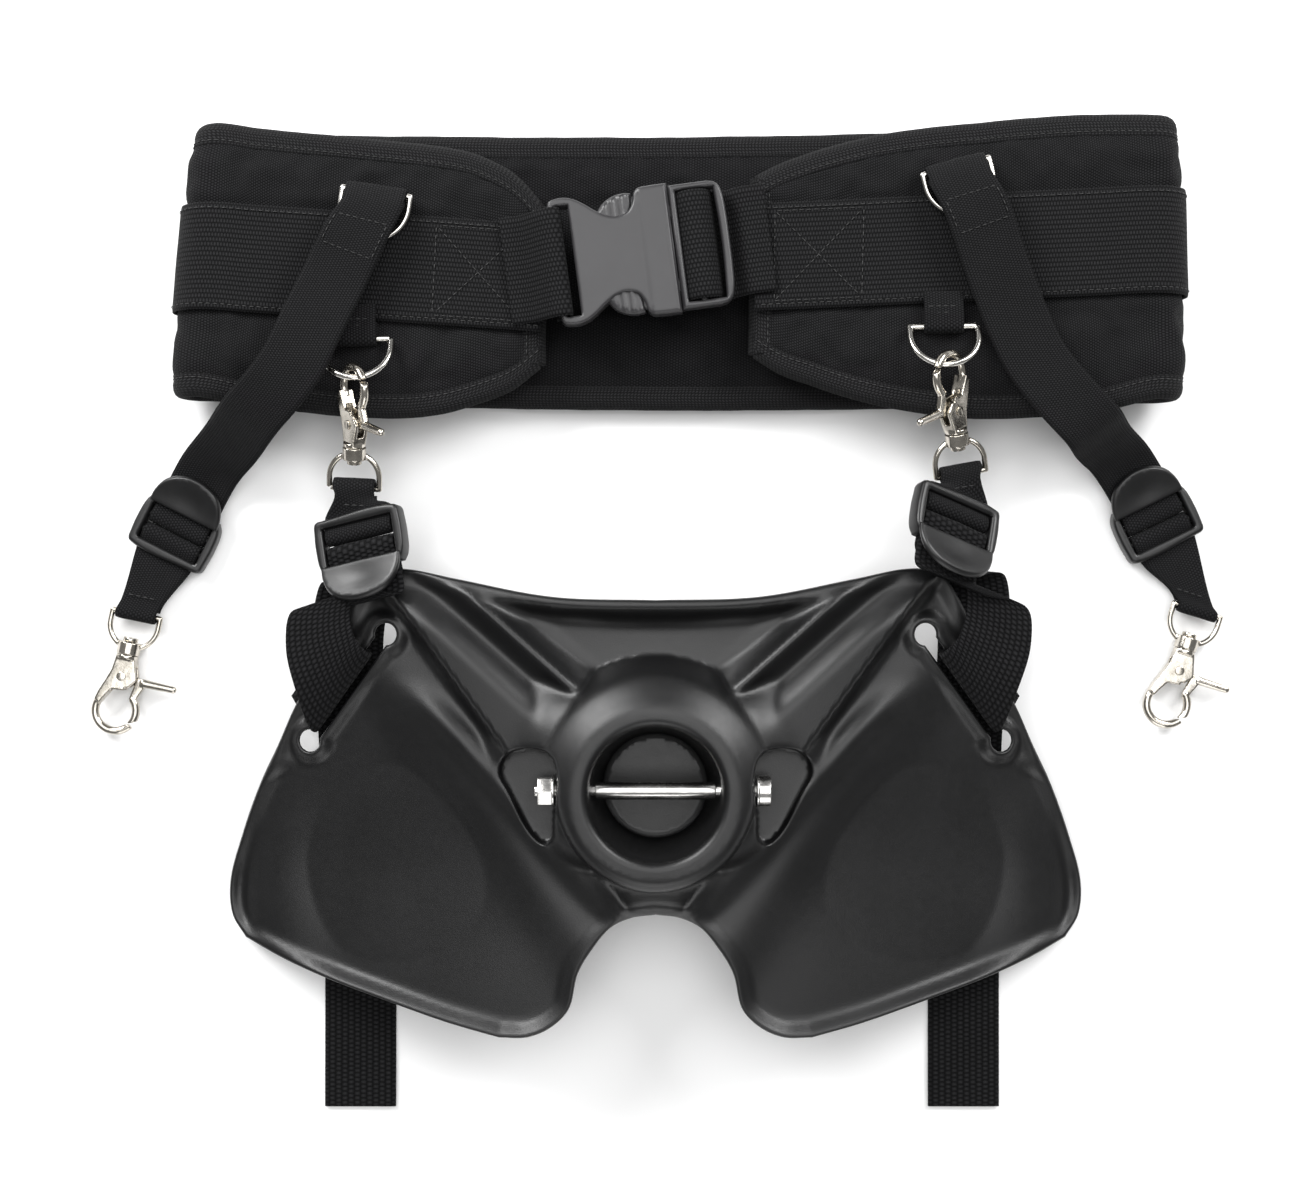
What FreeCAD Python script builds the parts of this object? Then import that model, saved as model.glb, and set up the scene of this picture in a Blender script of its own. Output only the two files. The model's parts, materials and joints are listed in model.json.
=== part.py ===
"""Stand-up fishing fighting belt: a padded waist belt that carries a moulded gimbal plate.

Frame: +X across the wearer (longest), +Y from the plate up to the belt, +Z out of the table.
The belt lies flat on its back with the plate in front of it. All sizes are millimetres.
"""
import FreeCAD, Part
import math
import os

import Sketcher

Vector = FreeCAD.Vector
Rotation = FreeCAD.Rotation
Placement = FreeCAD.Placement

UP = Vector(0, 0, 1)
RIGHT = Vector(1, 0, 0)
FORWARD = Vector(0, 1, 0)

SIZES = {
    # padded belt
    "pad_thickness": 12.0, "cloth": 1.2, "belt_back_z": 8.0, "belt_front_low_z": 28.0,
    "belt_front_high_z": 26.6, "binding": 3.0, "fold_left_low": -215.0, "fold_left_high": -205.0,
    "fold_right_low": 236.0, "fold_right_high": 234.0,
    # webbing
    "waist_webbing_width": 50.0, "webbing": 1.6, "side_webbing_width": 29.0,
    "drop_webbing_width": 34.0, "tab_width": 18.0, "gap": 0.3,
    "side_wrap_gap": 0.4, "drop_wrap_gap": 1.9, "tail_end_y": -245.0,
    "drop_loop_length": 21.0,
    # rings on the belt
    "ring_wire": 3.0, "ring_inner": 28.5, "ring_depth": 21.5, "ring_tilt": 29.0,
    # snap hook
    "hook_wire": 3.9, "hook_loop_radius": 9.8, "hook_loop_y": -27.5, "hook_thickness": 7.0,
    "hook_slot": 3.2, "hook_neck": 9.0, "shoulder_diameter": 10.5, "shoulder": 2.0,
    "stem_diameter": 4.0, "stem_clearance": 0.08, "stem_cap_diameter": 7.0, "stem_cap": 2.0,
    "boss_diameter": 11.0, "boss": 6.0, "end_play": 0.2, "eye_wire": 2.7, "eye_outer": 26.0,
    "eye_bar_y": 20.0, "rivet_diameter": 2.6, "rivet_y": -10.5, "rivet_head": 4.4,
    "hub_diameter": 8.0, "hub": 1.4, "running_gap": 0.05, "nose_radius": 23.0, "lever_tip": 25.0,
    "lever_diameter": 4.2, "lever_tip_diameter": 3.6, "coil_wire": 0.5, "coil_radius": 2.6,
    # ladder-lock buckle
    "lock_rail": 4.0, "lock_height": 9.5, "lock_floor": 0.6, "lock_bar": 3.2, "lock_bar_z": 4.4,
    "lock_bar_one": 16.6, "lock_bar_two": 8.5, "lock_length": 29.0,
    "lock_cross_bar": 3.6, "lock_plate": 2.2, "lock_side_gap": 1.0,
    # side-release buckle
    "buckle_height": 60.0, "buckle_thickness": 12.0, "buckle_wall": 2.4, "buckle_bar": 4.0,
    "prong_thickness": 5.2, "buckle_z": 38.0, "buckle_angle": 7.5,
    # gimbal plate
    "plate": 4.6, "plate_crown_z": 51.0, "plate_radius": 467.0, "plate_width": 411.0,
    "plate_height": 201.0, "slot_width": 6.6, "slot_bulb": 10.5, "cup_y": -87.0,
    "cup_bore": 60.0, "cup_bore_low_z": 59.0, "cup_bore_high_z": 71.0, "cup_rim_z": 74.0,
    "cup_mouth": 68.0, "cup_floor_z": 28.0, "cup_floor": 48.0, "cup_wall": 4.0,
    "boss_base": 89.0, "saddle_base": 158.0, "saddle_low_z": 46.5, "saddle_high_z": 61.0,
    "pocket_wall_x": 46.0, "pocket_outer_x": 72.0, "pocket_top_y": -69.0,
    "pocket_low_y": -112.0, "pocket_floor_z": 46.0,
    # cross pin in the cup
    "pin_z": 54.0, "bolt_diameter": 6.0, "bolt_hole": 6.2, "sleeve_diameter": 8.0,
    "sleeve_gap": 0.05, "sleeve_end_gap": 0.6, "bolt_head": 5.4, "bolt_across": 14.0,
    "nut": 6.6, "washer": 1.0, "washer_diameter": 15.0,
}

doc = FreeCAD.newDocument("fighting_belt")
sheet = doc.addObject("Spreadsheet::Sheet", "sizes")
for row, (alias, amount) in enumerate(SIZES.items(), start=1):
    sheet.set(f"A{row}", alias)
    sheet.set(f"B{row}", str(amount))
    sheet.setAlias(f"B{row}", alias)
doc.recompute()

nodes = []


def size(alias):
    """A driving dimension as the sheet holds it now."""
    return float(sheet.get(alias))


def number(expression):
    """The value of an expression of sheet cells."""
    result = sheet.evalExpression(expression)
    return float(getattr(result, "Value", result))


# ------------------------------------------------------------------ document object helpers
def solid(kind, name, place=None, **expressions):
    """A Part primitive whose sizes are bound to the sheet."""
    item = doc.addObject(kind, name)
    for prop, expression in expressions.items():
        item.setExpression(prop, expression)
    if place is not None:
        item.Placement = place
    return item


def joined(name, items):
    item = doc.addObject("Part::MultiFuse", name)
    item.Shapes = items
    return item


def cut(name, base, tool):
    item = doc.addObject("Part::Cut", name)
    item.Base = base
    item.Tool = tool
    return item


def common(name, first, second):
    item = doc.addObject("Part::MultiCommon", name)
    item.Shapes = [first, second]
    return item


def moulded(name, shape):
    """A piece whose shape is worked out in code from the sheet's values."""
    item = doc.addObject("Part::Feature", name)
    item.Shape = shape
    return item


def keep(item, label, place=None):
    """Names a finished piece as a node and puts it in its place."""
    item.Label = label
    if place is not None:
        item.Placement = place
    nodes.append(item)
    return item


def at(x, y, z, axis=UP, angle=0.0):
    return Placement(Vector(x, y, z), Rotation(axis, angle))


def along(direction, origin=Vector(0, 0, 0)):
    """Places a cylinder's own +Z along a direction."""
    return Placement(origin, Rotation(UP, direction))


def frame_at(origin, x_axis, y_axis):
    """A placement from two perpendicular axes of the piece."""
    z_axis = x_axis.cross(y_axis)
    return Placement(origin, Rotation(x_axis, y_axis, z_axis, "ZXY"))


def unit(x, y, z):
    return Vector(x, y, z).normalize()


def sketch_outline(sketch, corners):
    """Closed polygon whose corners are pinned to the origin by sheet expressions."""
    points = [Vector(number(x), number(y), 0) for x, y in corners]
    count = len(points)
    for index, start in enumerate(points):
        sketch.addGeometry(Part.LineSegment(start, points[(index + 1) % count]))
    for index in range(count):
        sketch.addConstraint(Sketcher.Constraint("Coincident", index, 2, (index + 1) % count, 1))
    for index, (x, y) in enumerate(corners):
        for kind, expression, value in (("DistanceX", x, points[index].x),
                                        ("DistanceY", y, points[index].y)):
            made = sketch.addConstraint(Sketcher.Constraint(kind, -1, 1, index, 1, value))
            sketch.setExpression(f"Constraints[{made}]", expression)


def prism(name, corners, low, high):
    """A sketched outline extruded from one height to another."""
    sketch = doc.addObject("Sketcher::SketchObject", name + "_sketch")
    sketch_outline(sketch, corners)
    item = doc.addObject("Part::Extrusion", name)
    item.Base = sketch
    item.DirMode = "Custom"
    item.Dir = UP
    item.Solid = True
    item.setExpression("LengthFwd", high)
    item.setExpression("LengthRev", f"-({low})")
    return item


# ------------------------------------------------------------------ webbing helpers
def section(centre, half, normal, inner, outer):
    """Rectangular section of a band: half its width, and its two faces along the normal."""
    corners = [centre - half + normal * inner, centre + half + normal * inner,
               centre + half + normal * outer, centre - half + normal * outer]
    return Part.makePolygon(corners + corners[:1])


def band(stations, thickness):
    """Webbing through stations of centre, half width, normal and the inner face's distance."""
    wires = [section(centre, half, normal, inner, inner + thickness)
             for centre, half, normal, inner in stations]
    return Part.makeLoft(wires, True, True)


def wrap(centre, half, start, top, radius, steps=8):
    """Stations half way round a bar, from the start side over the top to the other side."""
    stations = []
    for step in range(steps + 1):
        angle = math.pi * step / steps
        normal = top * math.sin(angle) + start * math.cos(angle)
        stations.append((centre, half, normal, radius))
    return stations


def squared(run, half):
    """A direction with the part that lies along the width taken out."""
    across = Vector(half).normalize()
    return (run - across * run.dot(across)).normalize()


def double_band(points, halves, gaps, thickness, open_end=2.0):
    """Webbing doubled round a bar at each end of a centre line, with its free end sewn in."""
    count = len(points)
    steps = [(points[i + 1] - points[i]).normalize() for i in range(count - 1)]
    normals = []
    for index in range(count):
        before = steps[max(index - 1, 0)]
        after = steps[min(index, count - 2)]
        run = (before + after).normalize()
        normals.append(halves[index].cross(run).normalize())
    inner = range(1, count - 1)
    upper = [(points[i], halves[i], normals[i], gaps[i]) for i in inner]
    lower = [(points[i], halves[i], normals[i] * -1, gaps[i]) for i in reversed(inner)]
    first = wrap(points[0], halves[0], normals[0] * -1, squared(steps[0] * -1, halves[0]),
                 gaps[0])
    last = wrap(points[-1], halves[-1], normals[-1], squared(steps[-1], halves[-1]), gaps[-1])
    end = (points[0] + steps[0] * open_end, halves[0], normals[0] * -1, gaps[0])
    return band(first + upper + last + lower + [end], thickness)


# ------------------------------------------------------------------ padded belt
FRONT_LEFT = [  # x low, x high, y low, y high of the left flap, from its tongue to the fold
    (-54, -53, 111, 184), (-67, -65, 101, 197), (-83, -81, 94.5, 206), (-104, -98, 89, 210.5),
    (-135, -130, 88, 214), (-165, -160, 90.5, 217), (-193, -186, 94, 219.5),
]
FRONT_RIGHT = [  # the same for the right flap
    (46, 47, 116, 197), (58, 59, 108.5, 203), (72, 74, 103.5, 208.5), (95, 98, 96, 215),
    (122, 122, 90.5, 219), (150, 150, 87.5, 222), (180, 178, 88.3, 224.5), (208, 206, 90.5, 226),
]
FOLD_LEFT_Y = (98.0, 222.0)
FOLD_RIGHT_Y = (97.0, 226.0)
BACK_DIP = 4.0
WEB_LEFT_Y = (150.3, 160.8)
WEB_RIGHT_Y = (160.0, 168.5)


def fold(side, y_low, y_high, steps=8):
    """Stations round a folded end of the belt, from the front wall down to the back wall."""
    low_x = size(f"fold_{side}_low")
    high_x = size(f"fold_{side}_high")
    low_r = (size("belt_front_low_z") - size("belt_back_z")) / 2
    high_r = (size("belt_front_high_z") - size("belt_back_z")) / 2
    outward = RIGHT * (-1 if side == "left" else 1)
    stations = []
    for step in range(steps + 1):
        angle = math.pi * step / steps
        normal = UP * math.cos(angle) + outward * math.sin(angle)
        base_low = Vector(low_x, y_low, size("belt_back_z") + low_r)
        base_high = Vector(high_x, y_high, size("belt_back_z") + high_r)
        stations.append((base_low + normal * low_r, base_high + normal * high_r, normal))
    return stations


def flap(rows):
    """Stations of a front flap, from its tongue out to the fold."""
    low_z = size("belt_front_low_z")
    high_z = size("belt_front_high_z")
    return [(Vector(x1, y1, low_z), Vector(x2, y2, high_z), UP) for x1, x2, y1, y2 in rows]


def belt_line():
    """The pad's middle surface from the left tongue round the back to the right tongue."""
    left = flap(FRONT_LEFT) + fold("left", *FOLD_LEFT_Y)
    right = flap(FRONT_RIGHT) + fold("right", *FOLD_RIGHT_Y)
    back = []
    left_x = left[-1][0].x
    right_x = right[-1][0].x
    for share in (0.25, 0.5, 0.75):
        x = left_x + (right_x - left_x) * share
        dip = BACK_DIP * math.sin(math.pi * share)
        y_low = FOLD_LEFT_Y[0] + (FOLD_RIGHT_Y[0] - FOLD_LEFT_Y[0]) * share - dip
        y_high = FOLD_LEFT_Y[1] + (FOLD_RIGHT_Y[1] - FOLD_LEFT_Y[1]) * share - dip
        z = size("belt_back_z")
        back.append((Vector(x, y_low, z), Vector(x, y_high, z), UP * -1))
    return left, back, right[::-1]


def layer(stations, inner, outer):
    """One layer of the pad between two distances from its middle surface."""
    wires = []
    for low, high, normal in stations:
        half = (high - low) * 0.5
        wires.append(section(low + half, half, normal, inner, outer))
    return Part.makeLoft(wires, True, True)


def narrowed(stations, middles, width):
    """The same stations cut down to a strip of one width about given heights."""
    strip = []
    for (low, high, normal), middle in zip(stations, middles):
        span = high.y - low.y
        start = (middle - width / 2 - low.y) / span
        end = (middle + width / 2 - low.y) / span
        strip.append((low + (high - low) * start, low + (high - low) * end, normal))
    return strip


def edged(stations, at_low, start, end):
    """A strip along one edge of the pad, between two distances outside that edge."""
    strip = []
    for low, high, normal in stations:
        run = (high - low).normalize()
        if at_low:
            strip.append((low - run * end, low - run * start, normal))
        else:
            strip.append((high + run * start, high + run * end, normal))
    return strip


def web_middles(left, back, right):
    """Height of the waist webbing's middle along the belt."""
    middles = []
    for line, (tongue, folded) in ((left, WEB_LEFT_Y), (right[::-1], WEB_RIGHT_Y)):
        first = line[0][0].x
        last = line[-1][0].x
        heights = [tongue + (folded - tongue) * (low.x - first) / (last - first)
                   for low, high, normal in line]
        middles.append(heights)
    start = middles[0][-1]
    finish = middles[1][-1]
    middle = [start + (finish - start) * share for share in (0.25, 0.5, 0.75)]
    return middles[0] + middle + middles[1][::-1]


def web_top(y):
    """Height of the waist webbing's outer face on the front flaps."""
    share = (y - 90) / 125
    middle = size("belt_front_low_z") * (1 - share) + size("belt_front_high_z") * share
    return middle + size("pad_thickness") / 2 + size("gap") / 3 + size("webbing")


def build_belt():
    """Outer cloth, foam, lining, bound edges and the waist webbing sewn round the outside."""
    left, back, right = belt_line()
    line = left + back + right
    face = size("pad_thickness") / 2
    foam = face - size("cloth")
    keep(moulded("belt_outer_cloth", layer(line, foam, face)), "belt_outer_cloth")
    keep(moulded("belt_foam", layer(line, -foam, foam)), "belt_foam")
    keep(moulded("belt_lining", layer(line, -face, -foam)), "belt_lining")
    for label, at_low in (("lower_binding", True), ("upper_binding", False)):
        strip = edged(line, at_low, 0.0, size("binding"))
        keep(moulded(label, layer(strip, -face, face)), label)
    strip = narrowed(line, web_middles(left, back, right), size("waist_webbing_width"))
    inner = face + size("gap") / 3
    keep(moulded("waist_webbing", layer(strip, inner, inner + size("webbing"))), "waist_webbing")


# ------------------------------------------------------------------ rings and their tabs
def d_ring(name, wire, inner, depth):
    """D ring about its straight bar on X, with the arc on the -Y side."""
    major = f"(({inner}) / 2 + ({wire}) / 2)"
    half_wire = f"({wire}) / 2"
    leg = f"(({depth}) - {major})"
    radius = number(major)
    drop = number(leg)
    arc = solid("Part::Torus", name + "_arc", at(0, -drop, 0, UP, 180),
                Radius1=major, Radius2=half_wire)
    arc.Angle3 = 180
    bar = solid("Part::Cylinder", name + "_bar", along(RIGHT, Vector(-radius, 0, 0)),
                Radius=half_wire, Height=f"2 * {major}")
    pieces = [arc, bar]
    for index, x in enumerate((-radius, radius)):
        pieces.append(solid("Part::Cylinder", f"{name}_leg_{index}",
                            along(FORWARD * -1, Vector(x, 0, 0)),
                            Radius=half_wire, Height=leg))
        pieces.append(solid("Part::Sphere", f"{name}_corner_{index}", at(x, 0, 0),
                            Radius=half_wire))
    return joined(name, pieces)


def tab_shape(width, bar_radius, gap, thickness, leg):
    """A webbing tab folded round a bar on X, with both legs running along +Y."""
    inner = bar_radius + gap
    outer = inner + thickness
    points = []
    for radius in (outer, inner):
        points.append([Vector(-width / 2, y, z) for y, z in
                       ((leg, radius), (0, radius), (-radius, 0), (0, -radius), (leg, -radius))])
    edges = []
    for start, top, middle, low, end in points:
        edges.append(Part.LineSegment(start, top).toShape())
        edges.append(Part.Arc(top, middle, low).toShape())
        edges.append(Part.LineSegment(low, end).toShape())
    edges.append(Part.LineSegment(points[0][0], points[1][0]).toShape())
    edges.append(Part.LineSegment(points[0][4], points[1][4]).toShape())
    face = Part.Face(Part.Wire(Part.__sortEdges__(edges)))
    return face.extrude(RIGHT * width)


RINGS = {  # straight bar's middle x and y, and the bar's angle
    "upper_left": (-129.5, 189.3, -8.5), "upper_right": (139.3, 201.2, 14.8),
    "lower_left": (-138.7, 121.2, 1.26), "lower_right": (133.9, 127.2, 1.26),
}


def bar_height(key):
    """A ring lies on its own tab, on the waist webbing."""
    stack = size("webbing") + size("gap") * 2 + size("ring_wire") / 2
    if key.startswith("upper"):
        return web_top(165) + stack
    return web_top(121) - size("webbing") + stack


def ring_place(key):
    x, y, angle = RINGS[key]
    tilt = 0.0 if key.startswith("upper") else size("ring_tilt")
    turn = Rotation(UP, angle).multiply(Rotation(RIGHT, -tilt))
    return Placement(Vector(x, y, bar_height(key)), turn)


def ring_point(key):
    """Middle of a ring's wire at the bottom of its arc."""
    return ring_place(key).multVec(Vector(0, -size("ring_depth"), 0))


def build_rings():
    """Four D rings, each held to the belt by a sewn webbing tab."""
    wire = size("ring_wire") / 2
    for key in RINGS:
        place = ring_place(key)
        ring = d_ring(key + "_ring", "sizes.ring_wire", "sizes.ring_inner", "sizes.ring_depth")
        keep(ring, key + "_ring", place)
        x, y, angle = RINGS[key]
        if key.startswith("lower"):
            shape = tab_shape(size("tab_width"), wire, size("gap"), size("webbing"), 5.5)
            spot = at(x, y, bar_height(key), UP, angle)
        else:
            shape = tab_shape(size("tab_width") * 0.45, wire, size("gap") * 3,
                              size("webbing") * 0.5, 8.0)
            low = ring_point(key)
            turned = Rotation(UP, angle).multiply(Rotation(UP, 180))
            spot = Placement(low, turned)
        keep(moulded(key + "_tab", shape), key + "_tab", spot)


# ------------------------------------------------------------------ snap hook
def build_eye(label, place):
    """Swivel eye: a D ring with a bored boss that turns on the hook's stem."""
    centre = "(sizes.end_play + sizes.boss / 2)"
    inner = "(sizes.eye_outer - 2 * sizes.eye_wire)"
    ring = d_ring(label + "_wire", "sizes.eye_wire", inner, f"(sizes.eye_bar_y - {centre})")
    ring.Placement = at(0, size("eye_bar_y"), 0)
    boss = solid("Part::Cylinder", label + "_boss",
                 along(FORWARD, Vector(0, size("end_play"), 0)),
                 Radius="sizes.boss_diameter / 2", Height="sizes.boss")
    bore = solid("Part::Cylinder", label + "_bore", along(FORWARD, Vector(0, -2, 0)),
                 Radius="sizes.stem_diameter / 2 + sizes.stem_clearance",
                 Height="sizes.boss + 6")
    keep(cut(label, joined(label + "_body", [ring, boss]), bore), label, place)


def build_hook(label, place):
    """Cast hook: stem and cap, slotted cheeks, and the fixed left and lower part of the loop."""
    cap_y = number("sizes.boss + 2 * sizes.end_play")
    parts = [
        solid("Part::Cylinder", label + "_stem", along(FORWARD, Vector(0, -1, 0)),
              Radius="sizes.stem_diameter / 2", Height=f"{cap_y} + 1 + sizes.stem_cap / 2"),
        solid("Part::Cylinder", label + "_cap", along(FORWARD, Vector(0, cap_y, 0)),
              Radius="sizes.stem_cap_diameter / 2", Height="sizes.stem_cap"),
        solid("Part::Cylinder", label + "_shoulder",
              along(FORWARD, Vector(0, -size("shoulder"), 0)),
              Radius="sizes.shoulder_diameter / 2", Height="sizes.shoulder"),
    ]
    half = "(sizes.hook_neck / 2)"
    loop_y = "sizes.hook_loop_y"
    cheeks = [(f"-{half}", "-1"), (half, "-1"), (f"{half} + 2", "sizes.rivet_y + 2.5"),
              (f"{half} + 3", "sizes.rivet_y - 1"), ("3", "sizes.rivet_y - 6.5"),
              ("-3.5", "sizes.rivet_y - 7"), ("-6.5", f"{loop_y} + 5"), ("-8", f"{loop_y} + 2"),
              ("-10.5", f"{loop_y} + 4"), ("-9.5", f"{loop_y} + 8"),
              ("-7", "sizes.rivet_y - 2.5"), (f"-{half} - 0.8", "sizes.rivet_y + 2.5")]
    thick = "sizes.hook_thickness / 2"
    parts.append(prism(label + "_cheeks", cheeks, f"-{thick}", thick))
    claw = solid("Part::Torus", label + "_claw", at(0, size("hook_loop_y"), 0, UP, 145),
                 Radius1="sizes.hook_loop_radius", Radius2="sizes.hook_wire / 2")
    claw.Angle3 = 181
    parts.append(claw)
    rivet = Vector(0, size("rivet_y"), 0)
    slot_low = -size("hook_slot") / 2
    slot = solid("Part::Box", label + "_slot", at(-5, size("rivet_y") - 9, slot_low),
                 Length="20", Width="14.5", Height="sizes.hook_slot")
    hole = solid("Part::Cylinder", label + "_hole", Placement(rivet - UP * 10, Rotation()),
                 Radius="sizes.rivet_diameter / 2", Height="20")
    sweep = solid("Part::Cylinder", label + "_nose_cut",
                  Placement(rivet - UP * 5, Rotation()),
                  Radius="sizes.nose_radius + 0.3", Height="10")
    near = solid("Part::Box", label + "_nose_side", at(2.5, size("hook_loop_y") - 12, -5),
                 Length="14", Width="24", Height="10")
    tools = joined(label + "_tools", [slot, hole, common(label + "_nose", sweep, near)])
    keep(cut(label, joined(label + "_body", parts), tools), label, place)


def build_trigger(label, place):
    """Thumb trigger: hub on the rivet, arm, gate arc that closes the loop, and lever."""
    rivet = Vector(0, size("rivet_y"), 0)
    hub = "sizes.hub"
    disc = solid("Part::Cylinder", label + "_disc",
                 Placement(rivet - UP * size("hub"), Rotation()),
                 Radius="sizes.hub_diameter / 2", Height=hub)
    link = prism(label + "_link", [("0", "sizes.rivet_y + 2.5"), ("9", "sizes.rivet_y + 0.3"),
                                   ("9", "sizes.rivet_y - 3.5"), ("0", "sizes.rivet_y - 3.5")],
                 f"-{hub}", "0")
    arm = prism(label + "_arm", [("7.2", "sizes.rivet_y + 0.5"), ("11.5", "sizes.rivet_y + 0.5"),
                                 ("11.2", "sizes.rivet_y - 4"), ("8.2", "sizes.rivet_y - 11"),
                                 ("5.2", "sizes.rivet_y - 10.2")], f"-{hub}", hub)
    gate = solid("Part::Torus", label + "_gate", at(0, size("hook_loop_y"), 0, UP, -33),
                 Radius1="sizes.hook_loop_radius", Radius2="sizes.hook_wire / 2")
    gate.Angle3 = 81
    lever = solid("Part::Cone", label + "_lever",
                  along(RIGHT, Vector(9.8, size("rivet_y") - 1.5, 0)),
                  Radius1="sizes.lever_diameter / 2", Radius2="sizes.lever_tip_diameter / 2",
                  Height="sizes.lever_tip - 9.8")
    tip = solid("Part::Sphere", label + "_tip",
                at(size("lever_tip"), size("rivet_y") - 1.5, 0),
                Radius="sizes.lever_tip_diameter / 2")
    bore = solid("Part::Cylinder", label + "_bore", Placement(rivet - UP * 5, Rotation()),
                 Radius="sizes.rivet_diameter / 2 + sizes.running_gap", Height="10")
    reach = solid("Part::Cylinder", label + "_reach", Placement(rivet - UP * 6, Rotation()),
                  Radius="sizes.nose_radius", Height="12")
    loop = common(label + "_gate_tip", gate, reach)
    body = joined(label + "_body", [disc, link, arm, loop, lever, tip])
    keep(cut(label, body, bore), label, place)


def build_rivet(label, place):
    """Trigger rivet with a head on each cheek."""
    thick = size("hook_thickness") / 2
    shank = solid("Part::Cylinder", label + "_shank", at(0, 0, -thick),
                  Radius="sizes.rivet_diameter / 2", Height="sizes.hook_thickness")
    heads = [solid("Part::Cylinder", f"{label}_head_{index}", at(0, 0, z),
                   Radius="sizes.rivet_head / 2", Height="0.6")
             for index, z in enumerate((thick, -thick - 0.6))]
    keep(joined(label, [shank] + heads), label,
         place.multiply(at(0, size("rivet_y"), 0)))


def build_trigger_spring(label, place):
    """Torsion spring coiled round the rivet inside the slot."""
    wire = size("coil_wire") / 2
    radius = size("coil_radius")
    low = 0.15 + wire
    turns = [Part.makeTorus(radius, wire, Vector(0, 0, low + size("coil_wire") * 0.96 * turn))
             for turn in range(2)]
    keep(moulded(label, turns[0].fuse(turns[1])), label,
         place.multiply(at(0, size("rivet_y"), 0)))


HOOKS = {}


def build_snap(key, place):
    """One swivel snap: eye, hook, rivet, trigger and spring in the hook's own frame."""
    HOOKS[key] = place
    eye_place = Placement(place.Base, place.Rotation)
    if key in HOOK_TURN:
        turned = Rotation(FORWARD, HOOK_TURN[key])
        hook_place = Placement(place.Base, place.Rotation.multiply(turned))
    else:
        hook_place = eye_place
    build_eye(key + "_eye", eye_place)
    build_hook(key + "_hook", hook_place)
    build_trigger(key + "_trigger", hook_place)
    build_rivet(key + "_rivet", hook_place)
    build_trigger_spring(key + "_trigger_spring", hook_place)
    HOOKS[key + "_turned"] = hook_place


HOOK_TURN = {"drop_left": -128.0, "drop_right": -42.0}


# ------------------------------------------------------------------ ladder-lock buckle
def build_lock(label, webbing_width, place):
    """Ladder lock: rails, cross bar, two webbing bars and a raised thumb tab."""
    inner = f"({webbing_width} / 2 + sizes.lock_side_gap)"
    outer = f"({inner} + sizes.lock_rail)"
    rim = [(f"-{outer}", "0"), (outer, "0"), (f"{outer} - 1", "sizes.lock_length - 4"),
           (f"{outer} - 3.5", "sizes.lock_length"), (f"-{outer} + 3.5", "sizes.lock_length"),
           (f"-{outer} + 1", "sizes.lock_length - 4")]
    body = doc.addObject("PartDesign::Body", label + "_rails")
    plane = next(item for item in body.Origin.OriginFeatures if item.Role == "XY_Plane")
    outline = body.newObject("Sketcher::SketchObject", label + "_rim")
    outline.AttachmentSupport = [(plane, "")]
    outline.MapMode = "FlatFace"
    sketch_outline(outline, rim)
    pad = body.newObject("PartDesign::Pad", label + "_pad")
    pad.Profile = outline
    pad.setExpression("Length", "sizes.lock_height - sizes.lock_floor")
    window = body.newObject("Sketcher::SketchObject", label + "_window")
    window.AttachmentSupport = [(plane, "")]
    window.MapMode = "FlatFace"
    sketch_outline(window, [(f"-{inner}", "-1"), (inner, "-1"),
                            (inner, "sizes.lock_length + 1"),
                            (f"-{inner}", "sizes.lock_length + 1")])
    opening = body.newObject("PartDesign::Pocket", label + "_opening")
    opening.Profile = window
    opening.Reversed = True
    opening.setExpression("Length", "sizes.lock_height")
    body.Placement = at(0, 0, size("lock_floor"))
    parts = [body]
    for index, bar_y in enumerate(("lock_bar_one", "lock_bar_two")):
        start = Vector(-number(outer) + 2, size(bar_y), size("lock_bar_z"))
        parts.append(solid("Part::Cylinder", f"{label}_bar_{index}", along(RIGHT, start),
                           Radius="sizes.lock_bar / 2", Height=f"2 * {outer} - 4"))
    low = "sizes.lock_height - sizes.lock_plate * 0.6"
    high = "sizes.lock_height + sizes.lock_plate * 0.4"
    parts.append(prism(label + "_cross", [(f"-{outer}", "0"), (outer, "0"),
                                          (outer, "sizes.lock_cross_bar"),
                                          (f"-{outer}", "sizes.lock_cross_bar")], low, high))
    tab = prism(label + "_tab", [(f"-{outer} + 1", "0"), (f"{outer} - 1", "0"),
                                 (f"{outer} - 3.5", "7"), (f"{outer} - 7", "13"),
                                 (f"{outer} - 12", "17.2"), ("5", "18.9"), ("-5", "18.9"),
                                 (f"-{outer} + 12", "17.2"), (f"-{outer} + 7", "13"),
                                 (f"-{outer} + 3.5", "7")], "0", "sizes.lock_plate")
    tab_start = Vector(0, size("lock_length") - 6, number(low))
    tab.Placement = Placement(tab_start, Rotation(RIGHT, 12))
    parts.append(tab)
    keep(joined(label, parts), label, place)


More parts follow.
